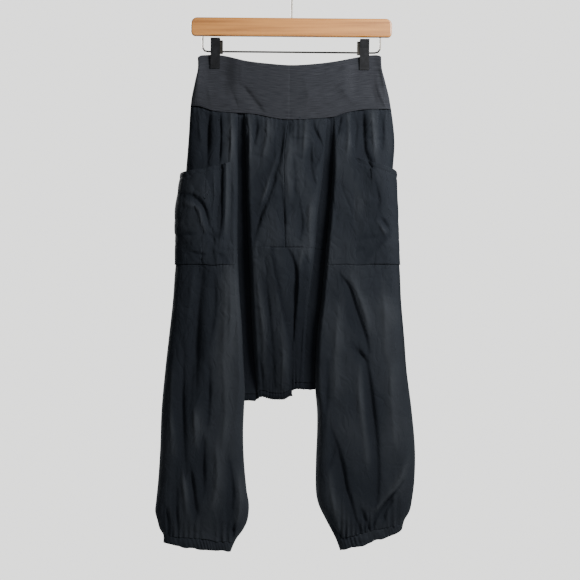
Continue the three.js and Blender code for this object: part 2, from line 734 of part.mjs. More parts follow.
// Clips: two bent plates that pivot over a folded spring on the rod
function profileAlongX(outline, holes, startX, length) {
  const shape = new THREE.Shape(outline.map(([y, z]) => new THREE.Vector2(z, y)));
  for (const hole of holes) shape.holes.push(hole);
  const solid = new THREE.ExtrudeGeometry(shape, { depth: length, bevelEnabled: false });
  // Shape x is height and shape y is depth: turn the extrusion to run along X
  solid.applyMatrix4(new THREE.Matrix4().makeBasis(
    new THREE.Vector3(0, 0, 1), new THREE.Vector3(0, 1, 0), new THREE.Vector3(-1, 0, 0)));
  solid.translate(startX + length, 0, 0);
  return solid;
}

function addClip(hand) {
  const centre = clipCentres[hand];
  const plate = 1.6;
  const spread = { top: 8, pivot: 4.8, tip: bandWall + 2 * seamGap };
  const innerSide = [
    [spread.top, clipTop],
    [spread.pivot + 0.6, rodHeight + 8],
    [spread.pivot, rodHeight],
    [spread.tip + 0.8, clipTip + 12],
    [spread.tip, clipTip + 4],
    [spread.tip, clipTip],
  ];
  const outerSide = innerSide.map(([y, z]) => [y + plate, z]).reverse();
  for (const [end, sign] of [["front", -1], ["back", 1]]) {
    const outline = [...innerSide, ...outerSide].map(([y, z]) => [sign * y, z]);
    const jaw = profileAlongX(outline, [], centre - clipWidth / 2, clipWidth);
    addPiece(hanger, `clip_${hand}_${end}`, jaw, "clip");
  }
  const half = spread.pivot - seamGap;
  const springLow = rodHeight - 4;
  const springTop = rodHeight + 20;
  const loop = [[-half, springLow], [half, springLow], [half, springTop - 3],
    [half - 2, springTop], [-half + 2, springTop], [-half, springTop - 3]];
  const bearing = rodDiameter / 2 + seamGap;
  const rodHole = new THREE.Path(arcPoints(rodHeight, 0, bearing, 0, 345, 15)
    .map(([z, y]) => new THREE.Vector2(z, y)));
  const opening = new THREE.Path([[rodHeight + 4, 3.2], [rodHeight + 4, -3.2],
    [springTop - 2, -2.4], [springTop - 2, 2.4]].map(([z, y]) => new THREE.Vector2(z, y)));
  const inward = hand === "left" ? 1 : -1;
  const springWidth = clipWidth + 3;
  const springStart = centre - springWidth / 2 + inward * 3.5;
  const spring = profileAlongX(loop, [rodHole, opening], springStart, springWidth);
  addPiece(hanger, `clip_${hand}_spring`, spring, "wire");
}
addClip("left");
addClip("right");

export default harem;
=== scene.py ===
import math

import bpy
import numpy as np
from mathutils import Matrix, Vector


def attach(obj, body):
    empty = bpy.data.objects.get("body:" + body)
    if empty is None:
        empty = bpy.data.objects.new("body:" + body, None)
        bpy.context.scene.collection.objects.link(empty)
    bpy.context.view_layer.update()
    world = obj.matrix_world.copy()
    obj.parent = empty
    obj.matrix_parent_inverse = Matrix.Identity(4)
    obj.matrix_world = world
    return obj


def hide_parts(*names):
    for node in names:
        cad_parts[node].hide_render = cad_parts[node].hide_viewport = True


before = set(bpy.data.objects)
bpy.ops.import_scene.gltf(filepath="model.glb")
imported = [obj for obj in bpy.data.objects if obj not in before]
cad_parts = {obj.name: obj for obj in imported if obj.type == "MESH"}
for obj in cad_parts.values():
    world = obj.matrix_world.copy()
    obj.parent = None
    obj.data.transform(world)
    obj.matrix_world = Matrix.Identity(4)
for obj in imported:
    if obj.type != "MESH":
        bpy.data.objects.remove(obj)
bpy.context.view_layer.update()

# Harem pants hung by the waistband from a wooden clip hanger.
# Forms are worked out in millimetres in the frame's axes, and meshes are made in metres:
# the front faces -Y, x runs to the right, z is up, and the origin is where the hook hangs.
metre = 0.001

# Form of the garment
cloth = {
    "wovenWall": 1.2,      # thickness of the woven cloth
    "bandWall": 2.0,       # thickness of the knit waistband
    "halfGap": 0.15,       # half of the gap at a seam
    "pleatFloor": 3.0,     # how far the bottom of a pleat stays off the middle plane
    "bandFlat": -200.0,    # below this height the waistband no longer swells out
    "waistTop": -150.0,    # heights of the seams; the two of the waist are only rough
    "waistSeam": -256.5,
    "gussetSeam": -496.5,
    "tuckDrop": 3.0,       # how far below the gusset seam a pleat's floor and a thigh seam meet it
    "thighDrop": 6.0,
    "thighSeam": -528.0,
    "crotchSeam": -757.0,
}

# Side seams from the waist down past the cuffs
sideSeams = {
    "z": [-140, -172, -196, -232, -304, -375, -466, -537, -592, -664, -718, -790, -860, -915,
          -955, -972, -988, -1003, -1016, -1048],
    "left": [-171, -170, -175, -182, -187, -193, -203, -211, -215, -223, -229, -235.5, -238, -241.5,
             -245.5, -247, -243, -239, -232, -235],
    "right": [161, 162, 168, 176.5, 185, 181.5, 188, 194.5, 197, 203, 207, 216, 222, 221,
              216, 212, 203, 199, 196, 194],
}

# Facing edges of the legs and of the dropped centre; below the crotch, the inseams
innerEdges = {
    "z": [-140, -262, -314, -375, -438, -500, -548, -592, -636, -690, -752, -790, -830, -880,
          -935, -960, -987, -1005, -1023, -1048],
    "legLeft": [-95, -97, -98, -97.5, -98, -98, -96, -93.5, -90, -88, -85, -86.5, -88, -86.5,
                -81.5, -77.5, -80, -88, -101, -112],
    "bagLeft": [-88, -87, -84, -82.5, -81, -78, -76, -74, -72, -68.5, -64, -66, -66, -66,
                -66, -66, -66, -66, -66, -66],
    "bagRight": [66, 63, 59.5, 54, 46, 41, 35, 29, 25, 21.5, 20, 22, 22, 22,
                 22, 22, 22, 22, 22, 22],
    "legRight": [73, 75, 74, 72, 67, 61, 57, 53, 47, 43, 42, 45, 45, 43,
                 43, 48, 61, 70.5, 79.5, 88.5],
}

# How far the cloth stands off the middle plane, and how far the pleats have sunk towards it
depths = {
    "z": [-140, -200, -252, -272, -304, -344, -400, -500, -600, -700, -736, -757, -780, -880,
          -945, -985, -1010, -1048],
    "leg": [6, 9, 12, 14, 17, 20, 23, 26, 27, 26, 26, 26, 26, 27, 26, 21, 16, 15],
    "bag": [9, 12, 14, 15, 18, 20, 22, 24, 24, 21, 14, 8, 7, 7, 7, 7, 7, 7],
    "sinkLeft": [0, 0, 0.4, 0.85, 0.95, 1, 1, 1, 1, 1, 1, 1, 1, 1, 1, 1, 1, 1],
    "sinkRight": [0, 0, 0.1, 0.35, 0.7, 0.95, 1, 1, 1, 1, 1, 1, 1, 1, 1, 1, 1, 1],
}

# Radii of the rounded edges at the side seams (outer) and along the pleats (inner)
edgeRounds = {
    "z": [-140, -180, -225, -262, -400, -700, -780, -860, -1048],
    "outerLeft": [3, 4, 14, 30, 36, 30, 28, 28, 20],
    "outerRight": [3, 4, 10, 16, 24, 26, 28, 28, 20],
    "inner": [8, 8, 8, 8, 8, 9, 14, 22, 18],
}
inseamDepth = {"z": [-140, -752, -780, -1048], "depth": [3, 3, 0.15, 0.15]}
waistTop = {
    "x": [-172, -163, -126, -85, -48, 0, 48, 86, 125, 152, 163],
    "z": [-155, -150, -150, -160, -165, -168.5, -165.5, -160, -152, -149.5, -153],
}
waistSeam = {
    "x": [-182, -160, -138, -68, -36, -5, 72, 97, 128, 180],
    "z": [-241, -243, -251, -256.5, -263, -266.5, -262, -254, -248.5, -247.5],
}
centreSeam = {"z": [-140, -262, -290, -330, -400, -460, -500], "x": [-5, -6, -10, -14, -14, -13, -12]}
lapEdge = {
    "z": [-490, -555, -606, -653, -684, -780],
    "x": [-38, -27, -16, -5.5, 0, -1],
    "height": [1.8, 4, 6, 7.5, 8, 7],
}
# Beyond this line the cloth under the lap falls back into the right pleat's shade
lapShade = {"z": [-490, -534, -600, -663, -780], "x": [22, 10, 4.5, 1, 0]}
lap = {
    "width": 1.6, "backShare": 0.6, "under": 3.0, "sunk": 0.55, "sunkFrom": -515, "sunkTo": -640,
    "edge": 0.95, "edgeShare": 0.035, "shadow": 2.6,        # painted shadow along the fold
    # painted shade on the cloth under the lap, and the heights and width over which it fades in
    "shade": 0.85, "shadeFrom": -500, "shadeTo": -560, "shadeSoft": 7,
}
# Shares of a half section at which it starts to turn in at an edge, or passes the fold
legTurns = {"outer": 0.25, "inner": 0.8}
bagTurns = {
    "left": 0.16, "fold": 0.5, "split": 0.505, "under": 0.515, "flat": 0.52, "right": 0.84,
    "leftRound": 9, "rightRound": 13,
}
pockets = {
    "left": {"mouthOuter": -366, "mouthInner": -344, "inner": 0.76, "bulge": 11, "gape": 4,
             "outer": 0.002, "innerFrom": 0.88, "innerSink": 0.1},
    "right": {"mouthOuter": -368, "mouthInner": -332, "inner": 0.66, "bulge": 5, "gape": 4.5,
              "outer": 0.002, "innerFrom": 0.4, "innerSink": -0.3},
}
pocketCloth = {
    "standOff": 1.8, "leastOff": 1.5, "crumple": 0.8,
    "hem": 0.7, "hemDown": 9, "hemWidth": 2.2,
    "narrowing": 0.6, "narrowFor": 0.08,                    # of the inner edge, under the mouth
    # shares of the tone of wear and painted shade: the panel's, the pocket's own, and its creases'
    "panelWearAndShade": 0.4, "ownWear": 0.3, "creaseWearAndShade": 0.34,
}
cuffs = {
    "left": {"topOuter": -1012, "topInner": -1029, "lowOuter": -1027, "lowInner": -1045, "sag": 1},
    "right": {"topOuter": -990, "topInner": -1025, "lowOuter": -1003, "lowInner": -1043, "sag": 4},
}
casing = {
    "height": 13, "lowFlap": -771, "lowRight": -754, "flapRise": 7,
    "bump": 5, "bumpAt": 0.16, "bumpWidth": 0.08, "pucker": 0.9, "pitch": 4.6,
    "overlap": 1.2, "tuckIn": 1.0, "leastDepth": 0.6,
}
clips = {"left": -137, "right": 132, "flat": 14, "reach": 40, "fadeTop": -181, "fadeLow": -240}


# Cubic through a table's rows with slopes taken from the neighbouring rows, flat past the ends
def along(table, key, name, at):
    keys, values = np.array(table[key], float), np.array(table[name], float)
    order = np.argsort(keys)
    keys, values = keys[order], values[order]
    slopes = np.gradient(values)
    slopes[1:-1] = (values[2:] - values[:-2]) / (keys[2:] - keys[:-2])
    slopes[0] = (values[1] - values[0]) / (keys[1] - keys[0])
    slopes[-1] = (values[-1] - values[-2]) / (keys[-1] - keys[-2])
    at = np.clip(at, keys[0], keys[-1])
    i = np.clip(np.searchsorted(keys, at, side="right") - 1, 0, len(keys) - 2)
    span = keys[i + 1] - keys[i]
    u = (at - keys[i]) / span
    value = values[i] * (1 + 2 * u) * (1 - u) ** 2 + values[i + 1] * u * u * (3 - 2 * u)
    return value + span * (slopes[i] * u * (1 - u) ** 2 - slopes[i + 1] * u * u * (1 - u))


# 0 before the first place, 1 past the second, which may be the lower of the two
def smoothStep(low, high, value):
    t = np.clip((value - low) / (high - low), 0, 1)
    return t * t * (3 - 2 * t)


# One less the cosine of a quarter circle: how far in a rounded edge has come at an even pace
def quarterTurn(share):
    return 1 - np.cos(np.clip(share, 0, 1) * np.pi / 2)


# Quarter ellipse: 0 at the edge, 1 a radius in
def roundRise(distance, radius):
    t = np.clip(distance / radius, 0, 1)
    return np.sqrt(1 - (1 - t) ** 2)


# Uneven ripple: a sine whose phase drifts with slower sines, so spacing and height vary
def ripple(x, pitch, seed):
    phase = x / pitch + 0.55 * np.sin(x / (2.7 * pitch) + seed)
    phase += 0.35 * np.sin(x / (4.3 * pitch) + 2.1 * seed)
    height = 0.65 + 0.35 * np.sin(x / (3.1 * pitch) + 1.7 * seed)
    return height * np.sin(2 * np.pi * phase)


# How far the pleat beside a place has sunk: the left and right pleats open at their own heights
def sinkAt(x, z):
    share = smoothStep(-40, 40, x + 12)
    return along(depths, "z", "sinkLeft", z) * (1 - share) + along(depths, "z", "sinkRight", z) * share


# Depth of the cloth above the pleats, where legs and centre are still one surface
def sharedDepth(x, z):
    leg, bag = along(depths, "z", "leg", z), along(depths, "z", "bag", z)
    return leg + (bag - leg) * (1 - smoothStep(20, 130, np.abs(x + 12)))


# From the shared surface down to the pleat's floor as the pleat sinks
def pleatDepth(x, z):
    sink = sinkAt(x, z)
    return sharedDepth(x, z) * (1 - sink) + cloth["pleatFloor"] * sink


# The clips press the waistband's layers together
def clipPinch(x, z):
    distance = np.minimum(np.abs(x - clips["left"]), np.abs(x - clips["right"]))
    return smoothStep(clips["fadeLow"], clips["fadeTop"], z) \
        * (1 - smoothStep(clips["flat"], clips["reach"], distance))


# A leg's half section: t is 0 at the side seam and 1 at the pleat or inseam. A quarter ellipse
# rises at each edge, and between them the cloth is a flat crown with a slight sine swell.
def legForm(hand, t, z):
    outerX = along(sideSeams, "z", hand, z)
    innerX = along(innerEdges, "z", "leg" + hand.capitalize(), z)
    width, towards = np.abs(innerX - outerX), np.sign(innerX - outerX)
    outerRound = along(edgeRounds, "z", "outer" + hand.capitalize(), z)
    innerRound = along(edgeRounds, "z", "inner", z)
    outer, inner = legTurns["outer"], legTurns["inner"]
    middle = outerRound + (width - innerRound - outerRound) * (t - outer) / (inner - outer)
    inset = np.where(t <= outer, outerRound * quarterTurn(t / outer), middle)
    inset = np.where(t >= inner, width - innerRound * quarterTurn((1 - t) / (1 - inner)), inset)
    x = outerX + towards * inset
    sink = sinkAt(x, z)
    crown = along(depths, "z", "leg", z) * (0.88 + 0.12 * np.sin(np.pi * inset / width) ** 2)
    crown = sharedDepth(x, z) * (1 - sink) + crown * sink
    seamDepth = np.maximum(along(inseamDepth, "z", "depth", z), cloth["halfGap"])
    innerDepth = np.where(z > cloth["crotchSeam"], cloth["pleatFloor"], seamDepth)
    innerRise, outerRise = roundRise(width - inset, innerRound), roundRise(inset, outerRound)
    standing = crown - sink * (1 - innerRise) * (crown - innerDepth)
    depth = cloth["halfGap"] + (standing - cloth["halfGap"]) * outerRise
    return x, depth, outerRise * (1 - sink + sink * innerRise)


# The dropped centre's half section: t is 0 at its left edge and 1 at its right edge. It is
# worked out as a leg is, but with lapped given, the left half lies over the right as a flap,
# and the cloth under the flap has sunk.
def bagForm(t, z, side, lapped):
    left = along(innerEdges, "z", "bagLeft", z)
    right = along(innerEdges, "z", "bagRight", z)
    if lapped:
        foldX = along(lapEdge, "z", "x", z)
        share = 1 if side == "front" else lap["backShare"]
        lapHeight = along(lapEdge, "z", "height", z) * share
        opened = smoothStep(0, 3, lapHeight)
        underX = foldX + lap["width"] - (lap["width"] + lap["under"]) * opened
    else:
        foldX = along(centreSeam, "z", "x", z) + 0.9 * cloud(z / 15, 0 * z, 6)
        underX, lapHeight = foldX, 0 * z
    leftRound, rightRound = bagTurns["leftRound"], bagTurns["rightRound"]
    u = (t - bagTurns["left"]) / (bagTurns["fold"] - bagTurns["left"])
    x = np.where(t > bagTurns["left"], left + leftRound + (foldX - left - leftRound) * u,
                 left + leftRound * quarterTurn(t / bagTurns["left"]))
    u = np.clip((t - bagTurns["flat"]) / (bagTurns["right"] - bagTurns["flat"]), 0, 1)
    x = np.where(t > bagTurns["split"], underX + (right - rightRound - underX) * u, x)
    u = (1 - t) / (1 - bagTurns["right"])
    x = np.where(t > bagTurns["right"], right - rightRound * quarterTurn(u), x)
    sink = sinkAt(x, z)
    crown = along(depths, "z", "bag", z)
    crown = crown * (0.86 + 0.14 * np.sin(np.pi * np.clip((x - left) / (right - left), 0, 1)) ** 2)
    crown = sharedDepth(x, z) * (1 - sink) + crown * sink
    if lapped:
        below = (t > bagTurns["under"]) * lap["sunk"] * share
        crown = crown * (1 - below * smoothStep(lap["sunkFrom"], lap["sunkTo"], z))
    rise = roundRise(x - left, leftRound) * roundRise(right - x, rightRound)
    depth = crown - sink * (1 - rise) * (crown - cloth["pleatFloor"])
    lift = lapHeight * smoothStep(0, 1, (x - left) / (foldX - left))
    lift = np.where(t <= bagTurns["split"], lift, 0)
    return x, depth + lift, 1 - sink + sink * rise


# A zone's x, depth, and how free its cloth is to fold. The garment's half sections are legs,
# the centre above and below the gusset seam, and the tucks: straight floors of the pleats.
def zoneForm(zone, t, z, side):
    if zone == "legLeft":
        return legForm("left", t, z)
    if zone == "legRight":
        return legForm("right", t, z)
    if zone in ("tuckLeft", "tuckRight"):
        hand = zone[4:]
        edge = along(innerEdges, "z", "leg" + hand, z)
        bag = along(innerEdges, "z", "bag" + hand, z)
        x = edge + (bag - edge) * t
        return x, pleatDepth(x, z), 1 - sinkAt(x, z)
    return bagForm(t, z, side, zone == "gusset")


# A crease is a path in millimetres with a height (a trough where negative), a half width,
# and a lean, which widens its long flank. Troughs have the long flank on the left and ridges
# on the right, as where cloth falls over to one side. A crease fades out at both ends, and
# its height swells and thins along it.
flanks = {"long": 1.35, "steep": 0.6, "boost": 1.25, "farthest": 4}
creases = {
    "waistband_front": [
        ([(-88, -206), (-70, -228), (-52, -252)], -2.6, 5, 1.8),
        ([(-160, -180), (-150, -215), (-146, -240)], 1.2, 6, 1.0),
        ([(-5, -176), (-4, -258)], -0.35, 2.5, 1.0),
        ([(142, -155), (148, -180), (156, -214), (168, -244)], 2.6, 4, 0.7),
        ([(150, -158), (156, -178), (163, -205)], -2.2, 3, 1.2),
        ([(134, -180), (144, -208), (152, -240)], -1.2, 4, 1.4),
        ([(60, -190), (90, -212), (112, -240)], 0.9, 8, 1.3),
        ([(20, -188), (28, -222), (24, -252)], 0.8, 9, 1.0),
        ([(-118, -196), (-104, -226), (-96, -250)], -0.9, 6, 1.0),
    ],
    "waistband_back": [
        ([(86, -206), (64, -232), (48, -252)], -1.3, 4, 0.7),
        ([(-4, -176), (-5, -258)], -0.35, 2.5, 1.0),
        ([(-146, -158), (-152, -190), (-164, -236)], -1.6, 4, 1.3),
        ([(-60, -186), (-84, -214), (-104, -244)], 0.9, 8, 1.0),
        ([(118, -198), (108, -228), (110, -248)], -1.0, 6, 1.0),
    ],
    "front": [
        # below the waist seam
        ([(-150, -246), (-151, -300), (-154, -372)], -6.5, 15, 1.3),
        ([(-110, -258), (-109, -300), (-111, -352)], 3.0, 7, 0.8),
        ([(-129, -256), (-128, -300), (-130, -344)], -3.6, 4, 1.6),
        ([(-148, -254), (-150, -284), (-152, -322)], -2.4, 4, 1.4),
        ([(-164, -252), (-166, -282), (-163, -312)], 2.2, 6, 1.0),
        ([(-92, -258), (-92, -284), (-93, -322)], -6.0, 5, 1.0),
        ([(-92, -300), (-91, -360), (-90, -430)], -3.0, 5, 1.0),
        ([(-78, -262), (-76, -300), (-78, -346)], 2.0, 5, 1.0),
        ([(-61, -264), (-63, -286), (-68, -312)], -2.8, 3.5, 1.6),
        ([(-44, -266), (-46, -300), (-52, -334)], 2.2, 6, 1.0),
        ([(-13, -268), (-16, -296), (-23, -345), (-36, -386)], -3.4, 4.5, 1.9),
        ([(-30, -372), (-42, -408), (-56, -440), (-68, -486)], -3.8, 5, 2.0),
        ([(-26, -330), (-46, -392), (-62, -440)], 2.6, 8, 0.6),
        ([(-4, -268), (-5, -292)], -2.4, 2.6, 1.0),
        ([(-18, -388), (-14, -438), (-12, -492)], -2.4, 3.6, 1.8),
        ([(-4, -300), (-8, -350), (-6, -400)], 1.6, 8, 1.0),
        ([(38, -268), (41, -284), (55, -318), (42, -350)], -2.8, 3.6, 1.7),
        ([(24, -268), (22, -300), (20, -340)], 1.8, 5, 1.0),
        ([(34, -311), (35, -357), (43, -383)], -2.4, 3.8, 1.6),
        ([(-3, -298), (16, -301), (34, -302)], -0.9, 2.6, 1.0),
        ([(88, -260), (86, -274), (82, -294)], -3.0, 3.2, 1.5),
        ([(70, -262), (69, -300), (64, -352)], -6.0, 5, 1.0),
        ([(66, -300), (62, -370), (56, -430)], -3.0, 5, 1.0),
        ([(100, -256), (102, -290), (98, -336)], 2.2, 6, 1.0),
        ([(112, -254), (116, -280), (114, -320)], -1.8, 4, 1.5),
        ([(128, -252), (129, -285), (131, -322), (144, -352)], -6.4, 8, 1.5),
        ([(142, -254), (146, -290), (148, -332)], 2.6, 6, 1.0),
        ([(131, -301), (148, -300), (167, -302)], -1.2, 2.6, 1.0),
        ([(160, -252), (163, -284), (162, -320)], -2.0, 4, 1.3),
        ([(10, -404), (18, -448), (14, -488)], -1.8, 5, 1.3),
        ([(34, -410), (30, -450), (32, -490)], 1.8, 6, 1.0),
        ([(2, -330), (6, -372), (4, -412)], -1.0, 5, 1.0),
        # dropped centre below the gusset seam
        ([(23, -512), (31, -524), (40, -540)], -1.6, 3.4, 1.5),
        ([(-7, -500), (4, -523), (8, -554), (5, -600), (2, -664)], -4.4, 4, 1.7),
        ([(30, -500), (31, -540), (24, -600), (18, -680)], 2.2, 5, 1.0),
        ([(18, -500), (14, -526), (12, -570), (9, -620)], 2.6, 4.5, 1.2),
        ([(-66, -520), (-60, -580), (-52, -650), (-50, -720)], 1.8, 8, 1.0),
        ([(-46, -560), (-40, -620), (-34, -690), (-32, -748)], -1.8, 6, 1.5),
        ([(-20, -640), (-16, -690), (-18, -750)], 1.5, 6, 1.0),
        ([(24, -600), (18, -660), (14, -730)], -1.8, 4, 1.4),
        ([(-58, -690), (-54, -726), (-52, -752)], -1.6, 4, 1.3),
        # left leg below the thigh seam
        ([(-176, -536), (-182, -590), (-192, -660)], 2.0, 10, 1.0),
        ([(-160, -534), (-168, -610), (-172, -700), (-176, -790)], -8.0, 17, 1.2),
        ([(-116, -534), (-120, -620), (-124, -720)], 3.4, 15, 1.0),
        ([(-196, -656), (-186, -636), (-176, -622)], -1.6, 5, 1.5),
        ([(-140, -540), (-138, -600), (-146, -660)], -2.0, 8, 1.4),
        ([(-112, -536), (-110, -600), (-112, -690)], 2.0, 9, 1.0),
        ([(-194, -676), (-196, -760), (-193, -850), (-190, -900)], -4.2, 8, 1.3),
        ([(-172, -690), (-176, -770), (-172, -850)], 2.6, 9, 1.0),
        ([(-148, -712), (-148, -760), (-150, -812)], -2.8, 6, 1.5),
        ([(-122, -700), (-120, -790), (-126, -870)], 2.2, 11, 1.0),
        ([(-157, -840), (-158, -884), (-158, -936)], -3.4, 6, 1.5),
        ([(-136, -850), (-134, -906), (-142, -964)], 2.6, 8, 1.0),
        ([(-181, -892), (-176, -928), (-170, -974)], -4.2, 4.4, 1.7),
        ([(-196, -884), (-194, -924), (-188, -972)], 3.0, 7, 1.0),
        ([(-226, -962), (-220, -988), (-219, -1012)], -3.2, 4, 1.3),
        ([(-112, -880), (-106, -930), (-110, -986)], -2.6, 6, 1.3),
        ([(-104, -992), (-106, -1016)], -3.4, 4, 1.0),
        ([(-96, -900), (-93, -950), (-98, -990)], 2.0, 6, 1.0),
        ([(-214, -700), (-218, -780), (-216, -860)], 2.0, 8, 1.0),
        ([(-206, -930), (-206, -972), (-202, -1006)], -2.6, 4, 1.3),
        # right leg below the thigh seam
        ([(88, -548), (103, -568), (117, -611), (131, -652), (138, -684)], -3.4, 4.2, 1.9),
        ([(104, -548), (124, -596), (140, -650)], 2.2, 9, 0.8),
        ([(112, -676), (124, -688), (136, -702)], -3.0, 4.4, 1.6),
        ([(122, -682), (133, -704), (140, -742), (147, -800), (152, -850), (154, -900), (152, -956)],
         -4.4, 5.5, 1.6),
        ([(122, -700), (120, -760), (128, -830), (134, -884)], 2.6, 9, 1.0),
        ([(162, -560), (166, -620), (168, -690)], 2.0, 10, 1.0),
        ([(176, -700), (178, -770), (184, -850)], 2.2, 10, 1.0),
        ([(72, -826), (84, -860), (92, -892), (98, -926), (106, -952), (114, -982), (128, -1012)],
         -3.8, 4.2, 1.8),
        ([(78, -852), (73, -870), (68, -890)], -2.0, 3.6, 1.2),
        ([(199, -916), (175, -946), (160, -966), (150, -982), (143, -1002)], -5.0, 5, 0.6),
        ([(206, -880), (188, -920), (168, -946), (150, -966)], 3.4, 8, 1.0),
        ([(180, -950), (168, -970), (164, -990)], -3.4, 4, 1.3),
        ([(124, -964), (134, -988), (140, -1010)], -3.2, 4, 1.4),
        ([(70, -978), (76, -1000), (92, -1020)], -3.0, 4, 1.5),
        ([(64, -700), (62, -760), (58, -820)], -1.8, 7, 1.0),
        ([(84, -600), (78, -680), (76, -760)], 2.0, 9, 1.0),
        ([(66, -900), (72, -950), (84, -1000)], 2.2, 6, 1.0),
    ],
    "back": [
        ([(108, -262), (114, -330), (122, -410), (126, -462)], -3.6, 6, 1.6),
        ([(-140, -258), (-138, -320), (-146, -400)], -3.4, 5, 1.4),
        ([(-112, -258), (-112, -300), (-108, -350)], 2.4, 7, 1.0),
        ([(-92, -258), (-92, -290), (-93, -340)], -6.0, 5, 1.0),
        ([(70, -262), (69, -300), (64, -352)], -6.0, 5, 1.0),
        ([(-164, -250), (-168, -300), (-164, -346)], -2.4, 4, 1.4),
        ([(-60, -264), (-56, -310), (-62, -372), (-66, -430)], -3.0, 5, 1.7),
        ([(-34, -266), (-38, -320), (-30, -376)], 2.2, 7, 1.0),
        ([(-6, -268), (-4, -300)], -2.0, 3, 1.0),
        ([(12, -268), (20, -330), (34, -396), (40, -456)], -3.0, 4.6, 1.8),
        ([(36, -268), (34, -300), (28, -340)], 2.0, 6, 1.0),
        ([(-14, -390), (-20, -440), (-16, -488)], -2.2, 4, 1.5),
        ([(88, -258), (86, -290), (90, -330)], -2.6, 4, 1.4),
        ([(150, -252), (154, -300), (150, -352)], -3.0, 5, 1.5),
        ([(166, -256), (168, -320), (170, -390)], 2.2, 7, 1.0),
        ([(-176, -380), (-168, -440), (-176, -500)], 2.0, 9, 1.0),
        ([(-128, -420), (-120, -470), (-126, -512)], -2.4, 6, 1.4),
        ([(150, -410), (140, -460), (146, -512)], 2.0, 8, 1.0),
        ([(-60, -510), (-52, -580), (-46, -660), (-44, -730)], -2.2, 6, 1.5),
        ([(-20, -540), (-16, -620), (-20, -700)], 1.8, 7, 1.0),
        ([(12, -510), (10, -570), (4, -640)], -2.2, 4, 1.6),
        ([(22, -600), (16, -670), (14, -736)], -1.6, 4, 1.3),
        ([(-150, -560), (-166, -640), (-162, -740)], -3.6, 8, 1.4),
        ([(-120, -560), (-124, -660), (-118, -760)], 2.4, 10, 1.0),
        ([(-190, -760), (-180, -860), (-172, -930), (-168, -996)], -4.2, 7, 1.4),
        ([(-206, -680), (-208, -780), (-200, -880)], 2.4, 9, 1.0),
        ([(-140, -800), (-138, -880), (-146, -960)], 2.6, 9, 1.0),
        ([(-112, -860), (-108, -930), (-116, -996)], -3.2, 6, 1.3),
        ([(-216, -940), (-208, -980), (-206, -1010)], -3.2, 5, 1.2),
        ([(152, -640), (142, -720), (130, -800), (122, -860)], -3.6, 7, 1.5),
        ([(96, -560), (104, -640), (116, -720)], -2.8, 6, 1.6),
        ([(172, -560), (176, -660), (180, -760)], 2.4, 10, 1.0),
        ([(98, -800), (106, -870), (122, -940), (140, -1000)], -4.2, 5.5, 1.6),
        ([(196, -900), (180, -940), (168, -984)], -4.0, 5, 0.7),
        ([(160, -820), (162, -890), (156, -960)], 2.8, 9, 1.0),
        ([(70, -860), (76, -930), (88, -1000)], -2.8, 5, 1.2),
        ([(70, -620), (62, -700), (64, -780)], 2.0, 8, 1.0),
    ],
}


# Height of one crease: its share along the path, times a pointed bell across it
def creaseRelief(x, z, crease):
    path, height, width, lean = crease
    points = np.array(path, float)
    pad = flanks["farthest"] * width * max(lean, 1)
    low, high = points.min(axis=0) - pad, points.max(axis=0) + pad
    heights = np.zeros_like(x)
    near = (x > low[0]) & (x < high[0]) & (z > low[1]) & (z < high[1])
    if not near.any():
        return heights
    px, pz = x[near], z[near]
    steps = np.linspace(0, len(points) - 1, 6 * (len(points) - 1) + 1)
    smooth = smoothPath(points, steps)
    lengths = np.linalg.norm(np.diff(smooth, axis=0), axis=1)
    runs = np.concatenate([[0], np.cumsum(lengths)])
    best, share, beside = np.full(px.shape, 1e9), np.zeros(px.shape), np.zeros(px.shape)
    for k, (start, end) in enumerate(zip(smooth[:-1], smooth[1:])):
        step = end - start
        u = ((px - start[0]) * step[0] + (pz - start[1]) * step[1]) / (step @ step)
        u = np.clip(u, 0, 1)
        dx, dz = px - start[0] - u * step[0], pz - start[1] - u * step[1]
        distance = np.hypot(dx, dz)
        closer = distance < best
        best = np.where(closer, distance, best)
        share = np.where(closer, (runs[k] + u * lengths[k]) / runs[-1], share)
        beside = np.where(closer, np.sign(dx), beside)
    reach = width * np.where(beside * height > 0, flanks["long"] * lean, flanks["steep"])
    fade = np.sin(np.pi * np.clip(0.08 + 0.84 * share, 0, 1)) ** 0.8
    fade = fade * (1 + 0.22 * np.sin(9 * share + points[0, 0] / 7))
    heights[near] = height * fade * np.exp(-1.5 * (np.hypot(best / reach, 0.25) - 0.25))
    return heights


# Catmull-Rom curve through the points, at places counted in points
def smoothPath(points, places):
    padded = np.vstack([2 * points[0] - points[1], points, 2 * points[-1] - points[-2]])
    i = np.clip(places.astype(int), 0, len(points) - 2)
    u = (places - i)[:, None]
    a, b, c, d = padded[i], padded[i + 1], padded[i + 2], padded[i + 3]
    return 0.5 * (2 * b + (c - a) * u + (2 * a - 5 * b + 4 * c - d) * u ** 2
                  + (3 * b - a - 3 * c + d) * u ** 3)


# All the creases of a side or a piece, added up
def relief(x, z, name):
    return flanks["boost"] * sum(creaseRelief(x, z, crease) for crease in creases[name])


latticeSize = 64
lattice = np.random.default_rng(11).uniform(-1, 1, (latticeSize, latticeSize))


# Value noise from -1 to 1: random heights on a lattice, joined by smooth steps. Each seed
# looks at another part of the lattice.
def cloud(x, z, seed):
    x, z = x + 17.3 * seed, z + 9.1 * seed
    i, j = np.floor(x).astype(int), np.floor(z).astype(int)
    u, v = x - i, z - j
    u, v = u * u * u * (u * (6 * u - 15) + 10), v * v * v * (v * (6 * v - 15) + 10)
    i, j, right, up = (k % latticeSize for k in (i, j, i + 1, j + 1))
    low = lattice[i, j] * (1 - u) + lattice[right, j] * u
    high = lattice[i, up] * (1 - u) + lattice[right, up] * u
    return low * (1 - v) + high * v


# Slow uneven swell of hanging cloth
def swell(x, z, seed):
    return cloud(x / 38, z / 70, seed) + 0.45 * cloud((x + 0.35 * z) / 22, z / 40, seed + 3)


